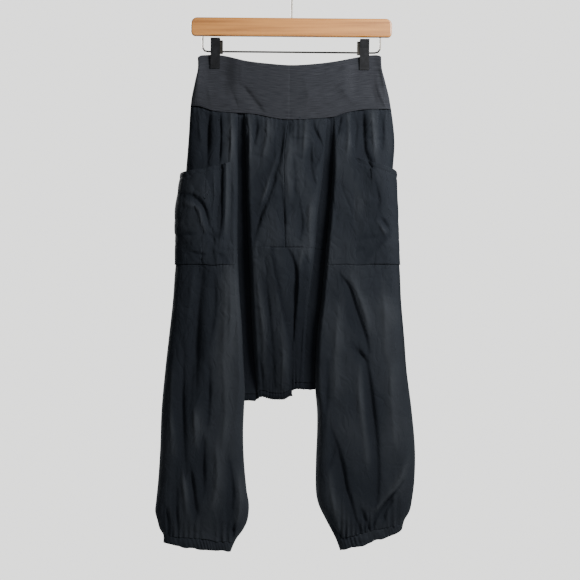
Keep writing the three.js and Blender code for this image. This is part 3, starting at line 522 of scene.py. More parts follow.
# Layers of the crumple: width and height of its cells in mm, their slant, and their share
crumpleLayers = [(25, 46, 0.15, 1.0), (16, 22, -0.3, 0.7), (10, 12, 0.5, 0.4)]


# Crumple: thin creases along the lines where a bent noise crosses zero, in patches
def crumple(x, z, seed):
    bend = 9 * cloud(x / 41, z / 37, seed + 5)
    total = 0
    for size, tall, slant, height in crumpleLayers:
        line = cloud((x + slant * z + bend) / size, (z + bend) / tall, seed + size)
        patch = smoothStep(-0.35, 0.5, cloud(x / 47, z / 58, seed + 2 * size))
        total = total - height * patch * np.exp(-7 * np.abs(line)) + 0.35 * height * line
    return total


# Gathers: height, spacing and how far they run from their seam, in mm
gathers = {
    "waist": {"height": 1.5, "pitch": 9.5, "reach": 19},      # under the waistband
    "waistFine": {"height": 0.7, "pitch": 4.3, "reach": 6},
    "ankle": {"height": 3.2, "pitch": 10.5, "reach": 27},     # above the cuffs
    "ankleFine": {"height": 1.2, "pitch": 4.8, "reach": 9},
    "crotch": {"height": 1.2, "pitch": 6.0, "reach": 13},     # above the crotch casing
    "seam": {"height": 0.45, "pitch": 6.5, "reach": 7},       # puckers along the hip seams
}
seamWave = {"thigh": 1.4, "cuff": 2.0, "cuffLow": 2.6}      # how far seams wander, in mm
surface = {
    "swell": 1.2, "bandSwell": 0.35, "crumple": 1.15,
    "calm": 0.55, "calmFrom": -520, "calmTo": -600,         # the crumple is calmer down the legs
    "leastDepth": 1.8, "pressedDepth": 2.15,
}
seamGrooves = {
    "waist": 1.1, "waistWidth": 1.8, "hip": 0.5, "gusset": 0.9, "hipWidth": 1.4,
    "gussetFrom": (-50, -36), "gussetTo": (26, 14),         # the gusset seam's ends are hidden in folds
}
# Tone of wear and painted shade: faded ridges, and painted shade in the creases' troughs and at the
# bottoms of the pleats
wearAndShadeSettings = {
    "small": 0.45, "large": 0.85, "height": 3.2, "middle": 0.56, "swing": 0.40,
    "troughFrom": 0.1, "troughTo": 0.75,       # shares of the depth over which painted shade darkens a pleat
}


# A seam's gathers: an uneven ripple that dies away from the seam, in patches
def gather(name, x, away, seed):
    g = gathers[name]
    reach = g["reach"] * (1 + 0.6 * cloud(x / (1.3 * g["pitch"]), 0 * x, seed))
    patch = 0.6 + 0.7 * cloud(x / (2.1 * g["pitch"]), 0 * x, seed + 4)
    return g["height"] * patch * np.exp(-np.clip(away, 0, None) / reach) * ripple(x, g["pitch"], seed)


# Heights of the seams across a zone; all take the same values, so that panels can name any two
def waistSeamHeight(zone, t, side):
    x = zoneForm(zone, t, cloth["waistSeam"] + 0 * t, side)[0]
    return along(waistSeam, "x", "z", x)


def waistTopHeight(zone, t, side):
    x = zoneForm(zone, t, cloth["waistTop"] + 0 * t, side)[0]
    return along(waistTop, "x", "z", x)


# The gusset seam is level; a thigh seam wanders, and rises beside the pleat to meet it
def hipSeamHeight(zone, t, side):
    if zone in ("yoke", "gusset"):
        return cloth["gussetSeam"] + 0 * t
    if zone.startswith("tuck"):
        return cloth["gussetSeam"] - cloth["tuckDrop"] + 0 * t
    rise = cloth["gussetSeam"] - cloth["thighDrop"] - cloth["thighSeam"]
    level = cloth["thighSeam"] + rise * smoothStep(legTurns["inner"], 1, t)
    return level + seamWave["thigh"] * cloud(7 * t, 0 * t, 8)


# A cuff's edges run straight from the side seam to the inseam, wandering and sagging between
def cuffTopHeight(zone, t, side):
    cuff = cuffs["left" if zone == "legLeft" else "right"]
    wave = seamWave["cuff"] * cloud(9 * t, 0 * t, 12 if zone == "legLeft" else 15)
    return cuff["topOuter"] + (cuff["topInner"] - cuff["topOuter"]) * t + wave * np.sin(np.pi * t)


def cuffLowHeight(zone, t, side):
    cuff = cuffs["left" if zone == "legLeft" else "right"]
    straight = cuff["lowOuter"] + (cuff["lowInner"] - cuff["lowOuter"]) * t
    wave = seamWave["cuffLow"] * cloud(11 * t, 0 * t, 13 if zone == "legLeft" else 18)
    return straight + (wave - cuff["sag"]) * np.sin(np.pi * t)


# The casing's lower edge steps up from the flap to the cloth under it, with one bump
def casingLowHeight(zone, t, side):
    if zone == "tuckLeft":
        return casing["lowFlap"] - 2 + 0 * t
    if zone == "tuckRight":
        return casing["lowRight"] + 1 + 0 * t
    rise, step = casing["flapRise"], casing["lowRight"] - casing["lowFlap"] - casing["flapRise"]
    low = casing["lowFlap"] + rise * smoothStep(0.40, 0.5, t) + step * smoothStep(0.507, 0.57, t)
    low = low + casing["bump"] * np.exp(-(((t - casing["bumpAt"]) / casing["bumpWidth"]) ** 2))
    return low + 2 * np.sin(9 * t) * smoothStep(0.57, 0.7, t)


def casingTopHeight(zone, t, side):
    return casingLowHeight(zone, t, side) + casing["height"]


# Rounded grooves along the hip seams and the waist seam, from the distances to them
def seamGroove(zone, x, hipAway, waistAway):
    depth = seamGrooves["hip"]
    if zone in ("yoke", "gusset"):
        depth = seamGrooves["gusset"] * smoothStep(*seamGrooves["gussetFrom"], x)
        depth = depth * smoothStep(*seamGrooves["gussetTo"], x)
    groove = depth * np.exp(-(hipAway / seamGrooves["hipWidth"]) ** 2)
    return groove + seamGrooves["waist"] * np.exp(-(waistAway / seamGrooves["waistWidth"]) ** 2)


# Outer surface of the woven cloth and the waistband: x, y, and a tone of wear and painted shade, for a
# zone, t and height.
# To the plain form's depth it adds the creases, swell, crumple and gathers, less the grooves
# of the seams, all in the measure that the cloth is free there; then the clips pinch it.
def clothForm(zone, t, z, side, band=False):
    x, depth, free = zoneForm(zone, t, z, side)
    if band:
        depth, free = zoneForm(zone, t, np.maximum(z, cloth["bandFlat"]), side)[1:]
    base = depth
    seed = 1.0 if side == "front" else 4.0
    folds = relief(x, z, "waistband_" + side if band else side)
    if band:
        extra = folds + surface["bandSwell"] * swell(x, z, seed)
        depth = depth + extra * free
    else:
        extra = folds + surface["swell"] * swell(x, z, seed)
        calmer = 1 - surface["calm"] * smoothStep(surface["calmFrom"], surface["calmTo"], z)
        extra = extra + surface["crumple"] * calmer * crumple(x, z, seed)
        seam = along(waistSeam, "x", "z", x)
        extra = extra + gather("waist", x, seam - z, seed) + gather("waistFine", x, seam - z, seed)
        hip = hipSeamHeight(zone, t, side)
        extra = extra + gather("seam", x, np.abs(z - hip), seed + 0.5)
        if zone in ("legLeft", "legRight"):
            away = z - cuffTopHeight(zone, t, side)
            extra = extra + gather("ankle", x, away, seed + 1) + gather("ankleFine", x, away, seed)
        elif zone == "gusset":
            extra = extra + gather("crotch", x, z - casingTopHeight(zone, t, side), seed)
        depth = depth + extra * free
        depth = depth - seamGroove(zone, x, z - hip, z - seam) * free
    depth = np.maximum(depth, np.minimum(base, surface["leastDepth"]))
    pinch = clipPinch(x, z)
    depth = depth * (1 - pinch) + np.minimum(depth, surface["pressedDepth"]) * pinch
    # Wear and painted shade: ridges are paler as faded cloth, while troughs and the bottoms of the
    # pleats are darkened with painted shade
    sunk = 0 if band else sinkAt(x, z)
    crown = np.minimum(along(depths, "z", "leg", z), along(depths, "z", "bag", z))
    share = smoothStep(wearAndShadeSettings["troughFrom"], wearAndShadeSettings["troughTo"], depth / np.maximum(crown, 1))
    deep = 1 - sunk * (1 - share)
    deep = np.where(z > cloth["crotchSeam"] - 14, deep, 1)
    rubbedAndShaded = (wearAndShadeSettings["small"] * extra + wearAndShadeSettings["large"] * folds) * free / wearAndShadeSettings["height"]
    wearAndPaintedShade = deep * (wearAndShadeSettings["middle"] + wearAndShadeSettings["swing"] * np.tanh(rubbedAndShaded))
    # Painted shadow along the lap's fold on both its sides, and painted shade on the cloth under the
    # lap beyond lapShade's line
    if zone == "gusset":
        fold = bagTurns["fold"]
        beyond = np.clip(x - along(lapEdge, "z", "x", z), 0, None) * (t > fold)
        before = smoothStep(fold - lap["edgeShare"], fold, t)
        edge = lap["edge"] * np.where(t > fold, np.exp(-beyond / lap["shadow"]), before)
        shaded = smoothStep(0, lap["shadeSoft"], x - along(lapShade, "z", "x", z)) * (t > fold)
        under = lap["shade"] * smoothStep(lap["shadeFrom"], lap["shadeTo"], z) * shaded
        wearAndPaintedShade = wearAndPaintedShade * (1 - edge) * (1 - under)
    return x, -depth if side == "front" else depth, wearAndPaintedShade


# A mesh of quads over a grid of points, with a map of the cloth's own lengths in metres
def gridMesh(name, grid, outward=True, closed=False, lengths=None, wearAndPaintedShade=None):
    rows, across = grid.shape[:2]
    index = np.arange(rows * across).reshape(rows, across)
    if closed:
        index = np.concatenate([index, index[:, :1]], axis=1)
    a, b, c, d = index[:-1, :-1], index[1:, :-1], index[1:, 1:], index[:-1, 1:]
    quads = np.stack([a, b, c, d] if outward else [a, d, c, b], axis=-1).reshape(-1, 4)
    mesh = bpy.data.meshes.new(name)
    mesh.from_pydata((grid.reshape(-1, 3) * metre).tolist(), [], quads.tolist())
    if lengths is None:
        lengths = clothLengths(grid)
    flat = lengths.reshape(-1, 2)[quads.ravel()] * metre
    layer = mesh.uv_layers.new(name="cloth")
    layer.uv.foreach_set("vector", flat.astype(np.float32).ravel())
    # Tone of wear and painted shade for the woven material, 0.5 where none is given
    shade = np.full(rows * across, 0.5) if wearAndPaintedShade is None else wearAndPaintedShade.ravel()
    layer = mesh.attributes.new("wearAndPaintedShade", "FLOAT", "POINT")
    layer.data.foreach_set("value", shade.astype(np.float32))
    mesh.shade_smooth()
    mesh.update()
    return mesh


# Lengths along the cloth: across by the middle row's arc, down by the middle column's
def clothLengths(grid):
    rows, across = grid.shape[:2]
    u = np.concatenate([[0], np.cumsum(np.linalg.norm(np.diff(grid[rows // 2], axis=0), axis=1))])
    down = np.linalg.norm(np.diff(grid[:, across // 2], axis=0), axis=1)
    v = np.concatenate([[0], np.cumsum(down)])
    return np.stack(np.broadcast_arrays(u[None, :], -v[:, None]), axis=-1)


# A piece in the scene; a wall is laid inside its surface
def addObject(name, mesh, finish, wall=None):
    piece = bpy.data.objects.new(name, mesh)
    bpy.context.scene.collection.objects.link(piece)
    mesh.materials.append(finish)
    if wall:
        solid = piece.modifiers.new("wall", "SOLIDIFY")
        solid.thickness = wall * metre
        solid.offset = -1
    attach(piece, "root")
    return piece


# Rows of a panel lie closer together near its upper and lower seams
def rowPlaces(number):
    u = np.linspace(0, 1, number)
    return u - 0.68 * np.sin(2 * np.pi * u) / (2 * np.pi)


# Seam allowance at a panel's top, in mm: it reaches up behind the panel above by the amount
# under, and the cloth turns in towards that seam over the height turn by the amount tuckIn
allowances = {
    "waistTop": {"under": 0, "turn": 0.4, "tuckIn": 0},
    "waistSeam": {"under": 5, "turn": 9, "tuckIn": 3.4},
    "seam": {"under": 1.8, "turn": 0.4, "tuckIn": 1.7},
}


# A panel across one or more zones, each (zone, first t, last t, columns), from its top seam's
# height to its low seam's, with straight lines between the two
def panelGrid(side, zones, top, low, rows, allowance, band=False):
    under, turn, tuckIn = allowance["under"], allowance["turn"], allowance["tuckIn"]
    v = rowPlaces(rows)[:, None]
    outward = -1 if side == "front" else 1
    parts, shades = [], []
    for zone, start, end, columns in zones:
        t = np.linspace(start, end, columns)[None, :]
        seam = top(zone, t, side)
        lower = low(zone, t, side) + cloth["halfGap"]
        z = (seam + under) * (1 - v) + lower * v
        x, y, wearAndPaintedShade = clothForm(zone, t + 0 * z, z, side, band)
        behind = tuckIn * smoothStep(-turn, 0.5, z - seam)
        y = outward * np.maximum(outward * y - behind, cloth["halfGap"])
        parts.append(np.stack([x, y, z], axis=-1))
        shades.append(wearAndPaintedShade)
    return np.concatenate(parts, axis=1), np.concatenate(shades, axis=1)


fineness = 1.0
backShare = 0.8      # the back takes fewer rows and columns than the front
tuckColumns = 6
columnCounts = {
    "bandLeg": 60, "bandCentre": 34, "upperLeg": 84, "centre": 46, "leg": 100, "cuff": 96,
    "casing": 50, "pocket": 76,
}
rowCounts = {
    "waistband": 56, "upper": 124, "crotch": 116, "leg": 200, "cuff": 16, "casing": 26, "pocket": 92,
}


def count(number, side="front"):
    return max(4, round(number * fineness * (1 if side == "front" else backShare)))


print("materials")
woven = {
    # the darkest tone is painted shade in the pleats and along and under the lap
    "deep": (0.0003, 0.0006, 0.0016), "dark": (0.0062, 0.0075, 0.0099),
    "light": (0.0192, 0.0212, 0.0244),
    "thread": 0.0010,          # pitch of the weave, metres
    "fadeAndPaintedShade": 0.75, "cloudiness": 0.35, "slubs": 0.35, "sheen": 0.02,
}
knit = {
    "dark": (0.0045, 0.0049, 0.0064), "light": (0.0200, 0.0210, 0.0246),
    "rib": 0.0017, "course": 0.0014,
}
timber = {"dark": (0.19, 0.068, 0.010), "light": (0.31, 0.125, 0.022), "pore": (0.11, 0.04, 0.008)}
wire = {"dark": (0.022, 0.020, 0.017), "light": (0.055, 0.050, 0.043)}
clipPaint = {"dark": (0.0022, 0.0024, 0.0030), "light": (0.006, 0.0062, 0.0075)}
cotton = {"dark": (0.0050, 0.0064, 0.0090), "light": (0.016, 0.019, 0.024)}
pale = {"dark": (0.72, 0.72, 0.705), "light": (0.76, 0.76, 0.745)}


class Nodes:
    # A material's node tree, with short calls for the nodes used here
    def __init__(self, name):
        self.material = bpy.data.materials.new(name)
        self.material.use_nodes = True
        self.tree = self.material.node_tree
        self.shader = self.tree.nodes["Principled BSDF"]

    def add(self, kind, inputs=(), **settings):
        node = self.tree.nodes.new("ShaderNode" + kind)
        for key, value in settings.items():
            setattr(node, key, value)
        for key, value in dict(inputs).items():
            if isinstance(value, bpy.types.NodeSocket):
                self.tree.links.new(value, node.inputs[key])
            else:
                node.inputs[key].default_value = value
        return node

    def coordinates(self, source, scale):
        place = self.add("TexCoord").outputs[source]
        return self.add("Mapping", {"Vector": place, "Scale": scale}).outputs["Vector"]

    def noise(self, source, scale, size, detail=3.0):
        place = self.coordinates(source, scale)
        node = self.add("TexNoise", {"Vector": place, "Scale": size, "Detail": detail})
        return node.outputs["Fac"]

    # Thin creases where a noise crosses its middle
    def creases(self, source, scale, size):
        place = self.coordinates(source, scale)
        node = self.add("TexNoise", {"Vector": place, "Scale": size, "Detail": 2.0, "Distortion": 0.6})
        apart = self.maths("ABSOLUTE", self.maths("SUBTRACT", node.outputs["Fac"], 0.5), 0)
        return self.add("MapRange", {"Value": apart, "From Max": 0.16}).outputs["Result"]

    def ramp(self, value, *stops):
        node = self.add("ValToRGB", {"Fac": value})
        for element, (place, colour) in zip(node.color_ramp.elements, (stops[0], stops[-1])):
            element.position, element.color = place, (*colour, 1)
        for place, colour in stops[1:-1]:
            node.color_ramp.elements.new(place).color = (*colour, 1)
        return node.outputs["Color"]

    def mix(self, fac, a, b, blend="MIX"):
        node = self.add("Mix", data_type="RGBA", blend_type=blend)
        for socket, value in ((node.inputs[0], fac), (node.inputs[6], a), (node.inputs[7], b)):
            if isinstance(value, bpy.types.NodeSocket):
                self.tree.links.new(value, socket)
            else:
                socket.default_value = value if socket == node.inputs[0] else (*value, 1)
        return node.outputs[2]

    def maths(self, operation, a, b):
        return self.add("Math", {0: a, 1: b}, operation=operation).outputs[0]

    def times(self, a, b):
        return self.maths("MULTIPLY", a, b)

    # A value from 0 to 1 taken to the range from low to high
    def between(self, value, low, high):
        return self.add("MapRange", {"Value": value, "To Min": low, "To Max": high}).outputs["Result"]

    # Wavering bands, one for each pitch in metres along the cloth
    def bands(self, pitch, direction):
        place = self.coordinates("UV", (1, 1, 1))
        wave = self.add("TexWave", {"Vector": place, "Scale": math.pi / 10 / pitch,
                                    "Distortion": 1.2, "Detail": 2.0, "Detail Scale": 0.6},
                        bands_direction=direction)
        return wave.outputs["Fac"]

    def bump(self, height, strength, distance, under=None):
        inputs = {"Height": height, "Strength": strength, "Distance": distance}
        if under is not None:
            inputs["Normal"] = under
        return self.add("Bump", inputs).outputs["Normal"]

    def finish(self, colour=None, roughness=None, normal=None, **values):
        for key, value in {"Base Color": colour, "Roughness": roughness, "Normal": normal}.items():
            if isinstance(value, bpy.types.NodeSocket):
                self.tree.links.new(value, self.shader.inputs[key])
            elif value is not None:
                self.shader.inputs[key].default_value = value
        for key, value in values.items():
            self.shader.inputs[key.replace("_", " ")].default_value = value
        return self.material


# Black cotton: paler where it is worn, darker with painted shade in troughs, pleats and along and under
# the lap; slubs both ways, small creases, crinkles and a weave
def wovenCloth():
    n = Nodes("woven cloth")
    cloudy = n.noise("Object", (1, 1, 1), 9, 5)
    slubs = n.noise("UV", (260, 1900, 1), 1.0, 3)
    crossSlubs = n.noise("UV", (1700, 240, 1), 1.0, 3)
    # The attribute holds wear and painted shade, which move the colour down the ramp to the darkest
    # painted shade
    wearAndPaintedShade = n.add("Attribute", attribute_name="wearAndPaintedShade").outputs["Fac"]
    fadeAndPaintedShade = n.maths("ADD", n.times(wearAndPaintedShade, woven["fadeAndPaintedShade"]), n.times(cloudy, woven["cloudiness"]))
    shade = n.ramp(fadeAndPaintedShade, (0.0, woven["deep"]), (0.5, woven["dark"]), (0.85, woven["light"]))
    colour = n.mix(n.times(slubs, woven["slubs"]), shade, woven["dark"])
    colour = n.mix(n.times(crossSlubs, woven["slubs"]), colour, woven["dark"])
    weave = n.times(n.bands(woven["thread"], "X"), n.bands(woven["thread"], "Y"))
    crinkle = n.noise("Object", (1, 1, 0.8), 150, 6)
    creased = n.creases("Object", (1, 1, 0.6), 46)
    normal = n.bump(creased, 0.4, 0.0014)
    normal = n.bump(crinkle, 0.4, 0.0006, normal)
    normal = n.bump(weave, 0.3, 0.00022, normal)
    return n.finish(colour, n.between(slubs, 0.78, 0.97), normal, Sheen_Weight=woven["sheen"],
                    Sheen_Roughness=0.45, Sheen_Tint=(0.62, 0.72, 0.82, 1), Specular_IOR_Level=0.05)


# Dark jersey: pale streaks along its courses, flecks and small ribs
def waistbandKnit():
    n = Nodes("waistband knit")
    streaks = n.noise("UV", (42, 900, 1), 1.0, 4)
    flecks = n.noise("UV", (420, 1500, 1), 1.0, 4)
    shade = n.ramp(streaks, (0.32, knit["dark"]), (0.66, knit["light"]))
    colour = n.mix(n.times(flecks, 0.6), shade, knit["light"])
    stitches = n.times(n.bands(knit["rib"], "X"), n.bands(knit["course"], "Y"))
    colour = n.mix(n.times(stitches, 0.3), colour, knit["dark"])
    normal = n.bump(streaks, 0.4, 0.0009)
    normal = n.bump(stitches, 0.45, 0.0004, normal)
    return n.finish(colour, n.between(flecks, 0.86, 1.0), normal, Sheen_Weight=0.06,
                    Sheen_Roughness=0.5, Sheen_Tint=(0.8, 0.84, 0.92, 1), Specular_IOR_Level=0.05)


# Varnished wood: grain and pores that run along the bar
def hangerWood():
    n = Nodes("hanger wood")
    grain = n.noise("Object", (3.2, 60, 95), 1.6, 6)
    fine = n.noise("Object", (14, 700, 900), 1.0, 3)
    shade = n.ramp(grain, (0.34, timber["dark"]), (0.62, timber["light"]))
    pores = n.ramp(fine, (0.30, (1, 1, 1)), (0.40, (0, 0, 0)))
    colour = n.mix(n.times(pores, 0.28), shade, timber["pore"])
    return n.finish(colour, n.between(grain, 0.36, 0.52), n.bump(fine, 0.12, 0.0002),
                    Coat_Weight=0.18, Coat_Roughness=0.22)


# Dark steel wire with faint scuffs
def hangerWire():
    n = Nodes("hanger wire")
    scuffs = n.noise("Object", (60, 60, 260), 1.0, 4)
    colour = n.ramp(scuffs, (0.35, wire["dark"]), (0.7, wire["light"]))
    return n.finish(colour, n.between(scuffs, 0.24, 0.44), n.bump(scuffs, 0.06, 0.0002), Metallic=1.0)


# Black paint with a slight peel, rubbed here and there
def clipBlack():
    n = Nodes("clip black")
    peel = n.noise("Object", (1, 1, 1), 900, 3)
    rubs = n.noise("Object", (1, 1, 1), 120, 5)
    colour = n.ramp(rubs, (0.45, clipPaint["dark"]), (0.78, clipPaint["light"]))
    return n.finish(colour, n.between(rubs, 0.4, 0.58), n.bump(peel, 0.08, 0.0002),
                    Specular_IOR_Level=0.14)


# Dark thread with a fine twist
def sewingThread():
    n = Nodes("thread")
    twist = n.noise("Object", (1, 1, 1), 2600, 2)
    colour = n.ramp(twist, (0.3, cotton["dark"]), (0.7, cotton["light"]))
    return n.finish(colour, 0.7, n.bump(twist, 0.3, 0.0001), Specular_IOR_Level=0.12)


# Pale floor, faintly cloudy
def studioFloor():
    n = Nodes("studio floor")
    tone = n.noise("Object", (1, 1, 1), 4, 3)
    colour = n.ramp(tone, (0.3, pale["dark"]), (0.7, pale["light"]))
    return n.finish(colour, 0.8)


finishes = {
    "woven_cloth": wovenCloth(),
    "waistband_knit": waistbandKnit(),
    "hanger_wood": hangerWood(),
    "steel_wire": hangerWire(),
    "clip_black": clipBlack(),
    "thread": sewingThread(),
}


# A cloth piece in its CAD node's place, with a wall laid inside it; the CAD node is hidden
def clothPiece(node, grid, kind, outward=True, closed=False, wearAndPaintedShade=None):
    knitted = kind == "waistband"
    finish = "waistband_knit" if knitted else "woven_cloth"
    wall = cloth["bandWall"] if knitted else cloth["wovenWall"]
    mesh = gridMesh(node + "_cloth", grid, outward, closed, wearAndPaintedShade=wearAndPaintedShade)
    piece = addObject(node + "_cloth", mesh, finishes[finish], wall)
    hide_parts(node)


# Zones of the dropped centre: left pleat, flap, the turn under its fold, the cloth under it,
# and right pleat
def centreZones(columns):
    return [("tuckLeft", -0.35, 0.9, tuckColumns), ("gusset", 0, 0.5, columns),
            ("gusset", 0.503, 0.519, 3), ("gusset", 0.523, 1, columns),
            ("tuckRight", 0.9, -0.35, tuckColumns)]


# The panels of one side, from the waist down
def makePanels(side):
    wide = {name: count(number, side) for name, number in columnCounts.items()}
    tall = {name: count(number, side) for name, number in rowCounts.items()}

    def panel(node, kind, zones, top, low, allowance):
        grid, wearAndPaintedShade = panelGrid(side, zones, top, low, tall[kind], allowances[allowance],
                               band=kind == "waistband")
        clothPiece(node, grid, kind, outward=side == "front", wearAndPaintedShade=wearAndPaintedShade)

    bandZones = [("legLeft", 0, 1, wide["bandLeg"]), ("yoke", 0, 0.5, wide["bandCentre"]),
                 ("yoke", 0.52, 1, wide["bandCentre"]), ("legRight", 1, 0, wide["bandLeg"])]
    panel("waistband_" + side, "waistband",
          bandZones, waistTopHeight, waistSeamHeight, "waistTop")
    halves = {
        "left": [("legLeft", 0, 1, wide["upperLeg"]), ("tuckLeft", 0.05, 0.9, tuckColumns),
                 ("yoke", 0, 0.5, wide["centre"])],
        "right": [("yoke", 0.52, 1, wide["centre"]), ("tuckRight", 0.9, 0.05, tuckColumns),
                  ("legRight", 1, 0, wide["upperLeg"])],
    }
    for hand, zones in halves.items():
        panel(f"upper_{side}_{hand}", "upper", zones,
              waistSeamHeight, hipSeamHeight, "waistSeam")
    panel("crotch_" + side, "crotch", centreZones(wide["centre"]),
          hipSeamHeight, casingTopHeight, "seam")
    for hand, zone, ends in (("left", "legLeft", (0, 1)), ("right", "legRight", (1, 0))):
        panel(f"leg_{hand}_{side}", "leg", [(zone, *ends, wide["leg"])],
              hipSeamHeight, cuffTopHeight, "seam")


for side in ("front", "back"):
    print("panels of the", side)
    makePanels(side)


# Cuffs: rings of casing, puckered by the elastic inside
cuffForm = {
    "pucker": 1.25, "pitch": 6.4, "bulge": 1.8, "inset": 1.0, "slump": 1.4,
    "under": 3.5, "tuckIn": 2.2,
}


# A cuff goes round the leg's own section, which a rounded bulge, a slow slump and an uneven
# ripple move in and out
def makeCuff(hand):
    zone = "leg" + hand.capitalize()
    v = np.linspace(0, 1, count(rowCounts["cuff"]))[:, None]
    ends = (0, 1) if hand == "left" else (1, 0)
    parts = []
    for side, (start, end) in (("front", ends), ("back", ends[::-1])):
        t = np.linspace(start, end, count(columnCounts["cuff"]))[None, :]
        seam = cuffTopHeight(zone, t, side)
        z = (seam + cuffForm["under"]) * (1 - v) + cuffLowHeight(zone, t, side) * v
        x, depth, free = zoneForm(zone, t + 0 * z, z, side)
        seed = 2.0 if side == "front" else 5.0
        puff = cuffForm["bulge"] * np.sin(np.pi * v) ** 0.6 - cuffForm["inset"]
        slump = cuffForm["slump"] * cloud(x / 15, z / 9, seed)
        uneven = 0.7 + 0.5 * cloud(x / 11, z / 20, seed + 1)
        pucker = cuffForm["pucker"] * uneven * ripple(x + 0.3 * (z - z[:1]), cuffForm["pitch"], seed)
        depth = depth + (puff + slump + pucker) * free
        depth = depth - cuffForm["tuckIn"] * smoothStep(-1.0, 0.3, z - seam) * free
        depth = np.maximum(depth, cloth["halfGap"])
        parts.append(np.stack([x, -depth if side == "front" else depth, z], axis=-1))
    grid = np.concatenate(parts, axis=1)
    clothPiece("cuff_" + hand, grid, "cuff", closed=True)


# Crotch casing: a band folded under the dropped centre from its front edge to its back edge,
# nearly as half an ellipse, which a ripple makes uneven
def makeCasing():
    angle = np.linspace(0, np.pi, count(rowCounts["casing"]))[:, None]
    parts, shades = [], []
    for zone, start, end, number in centreZones(count(columnCounts["casing"])):
        t = np.linspace(start, end, number)[None, :]
        low = casingLowHeight(zone, t, "front")
        edge = low + casing["height"] + casing["overlap"]
        frontX, frontY, wearAndPaintedShade = clothForm(zone, t, edge, "front")
        backY = clothForm(zone, t, edge, "back")[1]
        frontY = np.minimum(frontY + casing["tuckIn"], -casing["leastDepth"])
        backY = np.maximum(backY - casing["tuckIn"], casing["leastDepth"])
        middle, reach = (frontY + backY) / 2, (frontY - backY) / 2
        pucker = casing["pucker"] * ripple(frontX, casing["pitch"], 3.0) * np.sin(angle)
        # Painted shade and highlight: half the panel's tone, paler on the puckers' ridges and darker in
        # their hollows
        shades.append(0.5 * wearAndPaintedShade + 0.15 * pucker)
        drop = (edge - low) * np.sin(angle) ** 0.6 + 0.8 * pucker
        y = middle + reach * np.cos(angle) - np.sign(np.cos(angle)) * pucker
        parts.append(np.stack([frontX + 0 * angle, y, edge - drop], axis=-1))
    grid = np.concatenate(parts, axis=1)
    clothPiece("crotch_casing", grid, "casing",
               wearAndPaintedShade=np.concatenate(shades, axis=1))


# Creases of the pockets' own cloth
creases.update({
    "pocket_left": [
        ([(-190, -400), (-169, -408), (-155, -430), (-148, -458), (-138, -476)], -4.4, 5, 1.8),
        ([(-186, -418), (-166, -428), (-160, -452), (-152, -474)], 3.0, 6, 1.0),
        ([(-152, -470), (-140, -478), (-130, -474)], -3.2, 3.6, 1.4),
        ([(-127, -340), (-127, -400), (-131, -476)], -9.0, 7.5, 1.2),
        ([(-118, -340), (-117, -400), (-120, -470)], 3.4, 4.0, 1.0),
        ([(-140, -352), (-139, -400), (-142, -450)], 2.0, 4.0, 1.0),
        ([(-203, -474), (-187, -474), (-171, -473)], -1.8, 3.6, 1.0),
        ([(-180, -505), (-168, -508), (-155, -509)], -1.8, 4, 1.0),
        ([(-142, -496), (-139, -528)], -2.2, 3.4, 1.5),
        ([(-133, -508), (-124, -512), (-112, -525)], -2.4, 3.6, 1.2),
        ([(-196, -384), (-200, -424), (-204, -470)], 1.6, 6, 1.0),
    ],
    "pocket_right": [
        ([(157, -440), (166, -454), (174, -468)], -2.6, 4.5, 1.6),
        ([(150, -448), (160, -462), (168, -478)], 2.2, 5, 1.0),
        ([(174, -474), (156, -492), (137, -512), (131, -524)], -2.4, 5, 1.3),
        ([(108, -484), (132, -481), (158, -478)], -1.5, 4, 1.0),
        ([(104, -504), (118, -502), (131, -501)], -1.4, 4, 1.0),
        ([(112, -380), (116, -420), (112, -462)], 1.8, 9, 1.0),
        ([(148, -376), (154, -410), (150, -440)], -1.4, 6, 1.2),
    ],
})


# A pocket's outer surface: the panel's own points moved out along its normals, further where
# the cloth sags and gapes. u runs in from the side seam, v down from the mouth.
def pocketForm(hand, u, v):
    form = pockets[hand]
    zone = "leg" + hand.capitalize()
    t = form["outer"] + (form["inner"] - form["outer"]) * u ** 1.2 + 0 * v
    mouth = form["mouthOuter"] + (form["mouthInner"] - form["mouthOuter"]) * u ** 0.8
    z = mouth * (1 - v) + (hipSeamHeight(zone, t, "front") + cloth["halfGap"]) * v
    x, y, wearAndPaintedShade = clothForm(zone, t, z, "front")
    nextX, nextY = clothForm(zone, t + 0.01, z, "front")[:2]
    lastX, lastY = clothForm(zone, t - 0.01, z, "front")[:2]
    acrossX, acrossY = nextX - lastX, nextY - lastY
    length = np.hypot(acrossX, acrossY) * (1 if hand == "left" else -1)
    outX, outY = acrossY / length, -acrossX / length
    standing = np.sin(np.pi * u ** 0.5) ** 0.6
    sag = form["bulge"] * standing * np.sin(np.pi * np.minimum(1, 0.25 + 0.75 * v))
    opening = form["gape"] * standing * (1 - v) ** 2
    fade = np.minimum(1, standing * 1.6)
    down = (mouth - z - pocketCloth["hemDown"]) / pocketCloth["hemWidth"]
    hem = pocketCloth["hem"] * np.exp(-down ** 2)
    own = relief(x, z, "pocket_" + hand)
    folds = (own + pocketCloth["crumple"] * crumple(x, z, 7.0)) * fade
    offset = pocketCloth["standOff"] + sag + opening + folds - hem * fade
    # The inner edge sinks to the panel over a width that narrows towards the mouth's corner
    narrowing = pocketCloth["narrowing"] * np.exp(-v / pocketCloth["narrowFor"])
    inner = smoothStep(1 - (1 - form["innerFrom"]) * (1 - narrowing), 1, u)
    offset = np.maximum(offset, pocketCloth["leastOff"]) * (1 - inner) + form["innerSink"] * inner
    # Wear and painted shade: part of the panel's tone, and the pocket's own creases paler on their
    # ridges and darker in their troughs
    wearAndPaintedShade = pocketCloth["panelWearAndShade"] * wearAndPaintedShade + pocketCloth["ownWear"]
    wearAndPaintedShade = wearAndPaintedShade + pocketCloth["creaseWearAndShade"] * np.tanh(own / wearAndShadeSettings["height"])
    return np.stack([x + outX * offset, y + outY * offset, z], axis=-1), wearAndPaintedShade


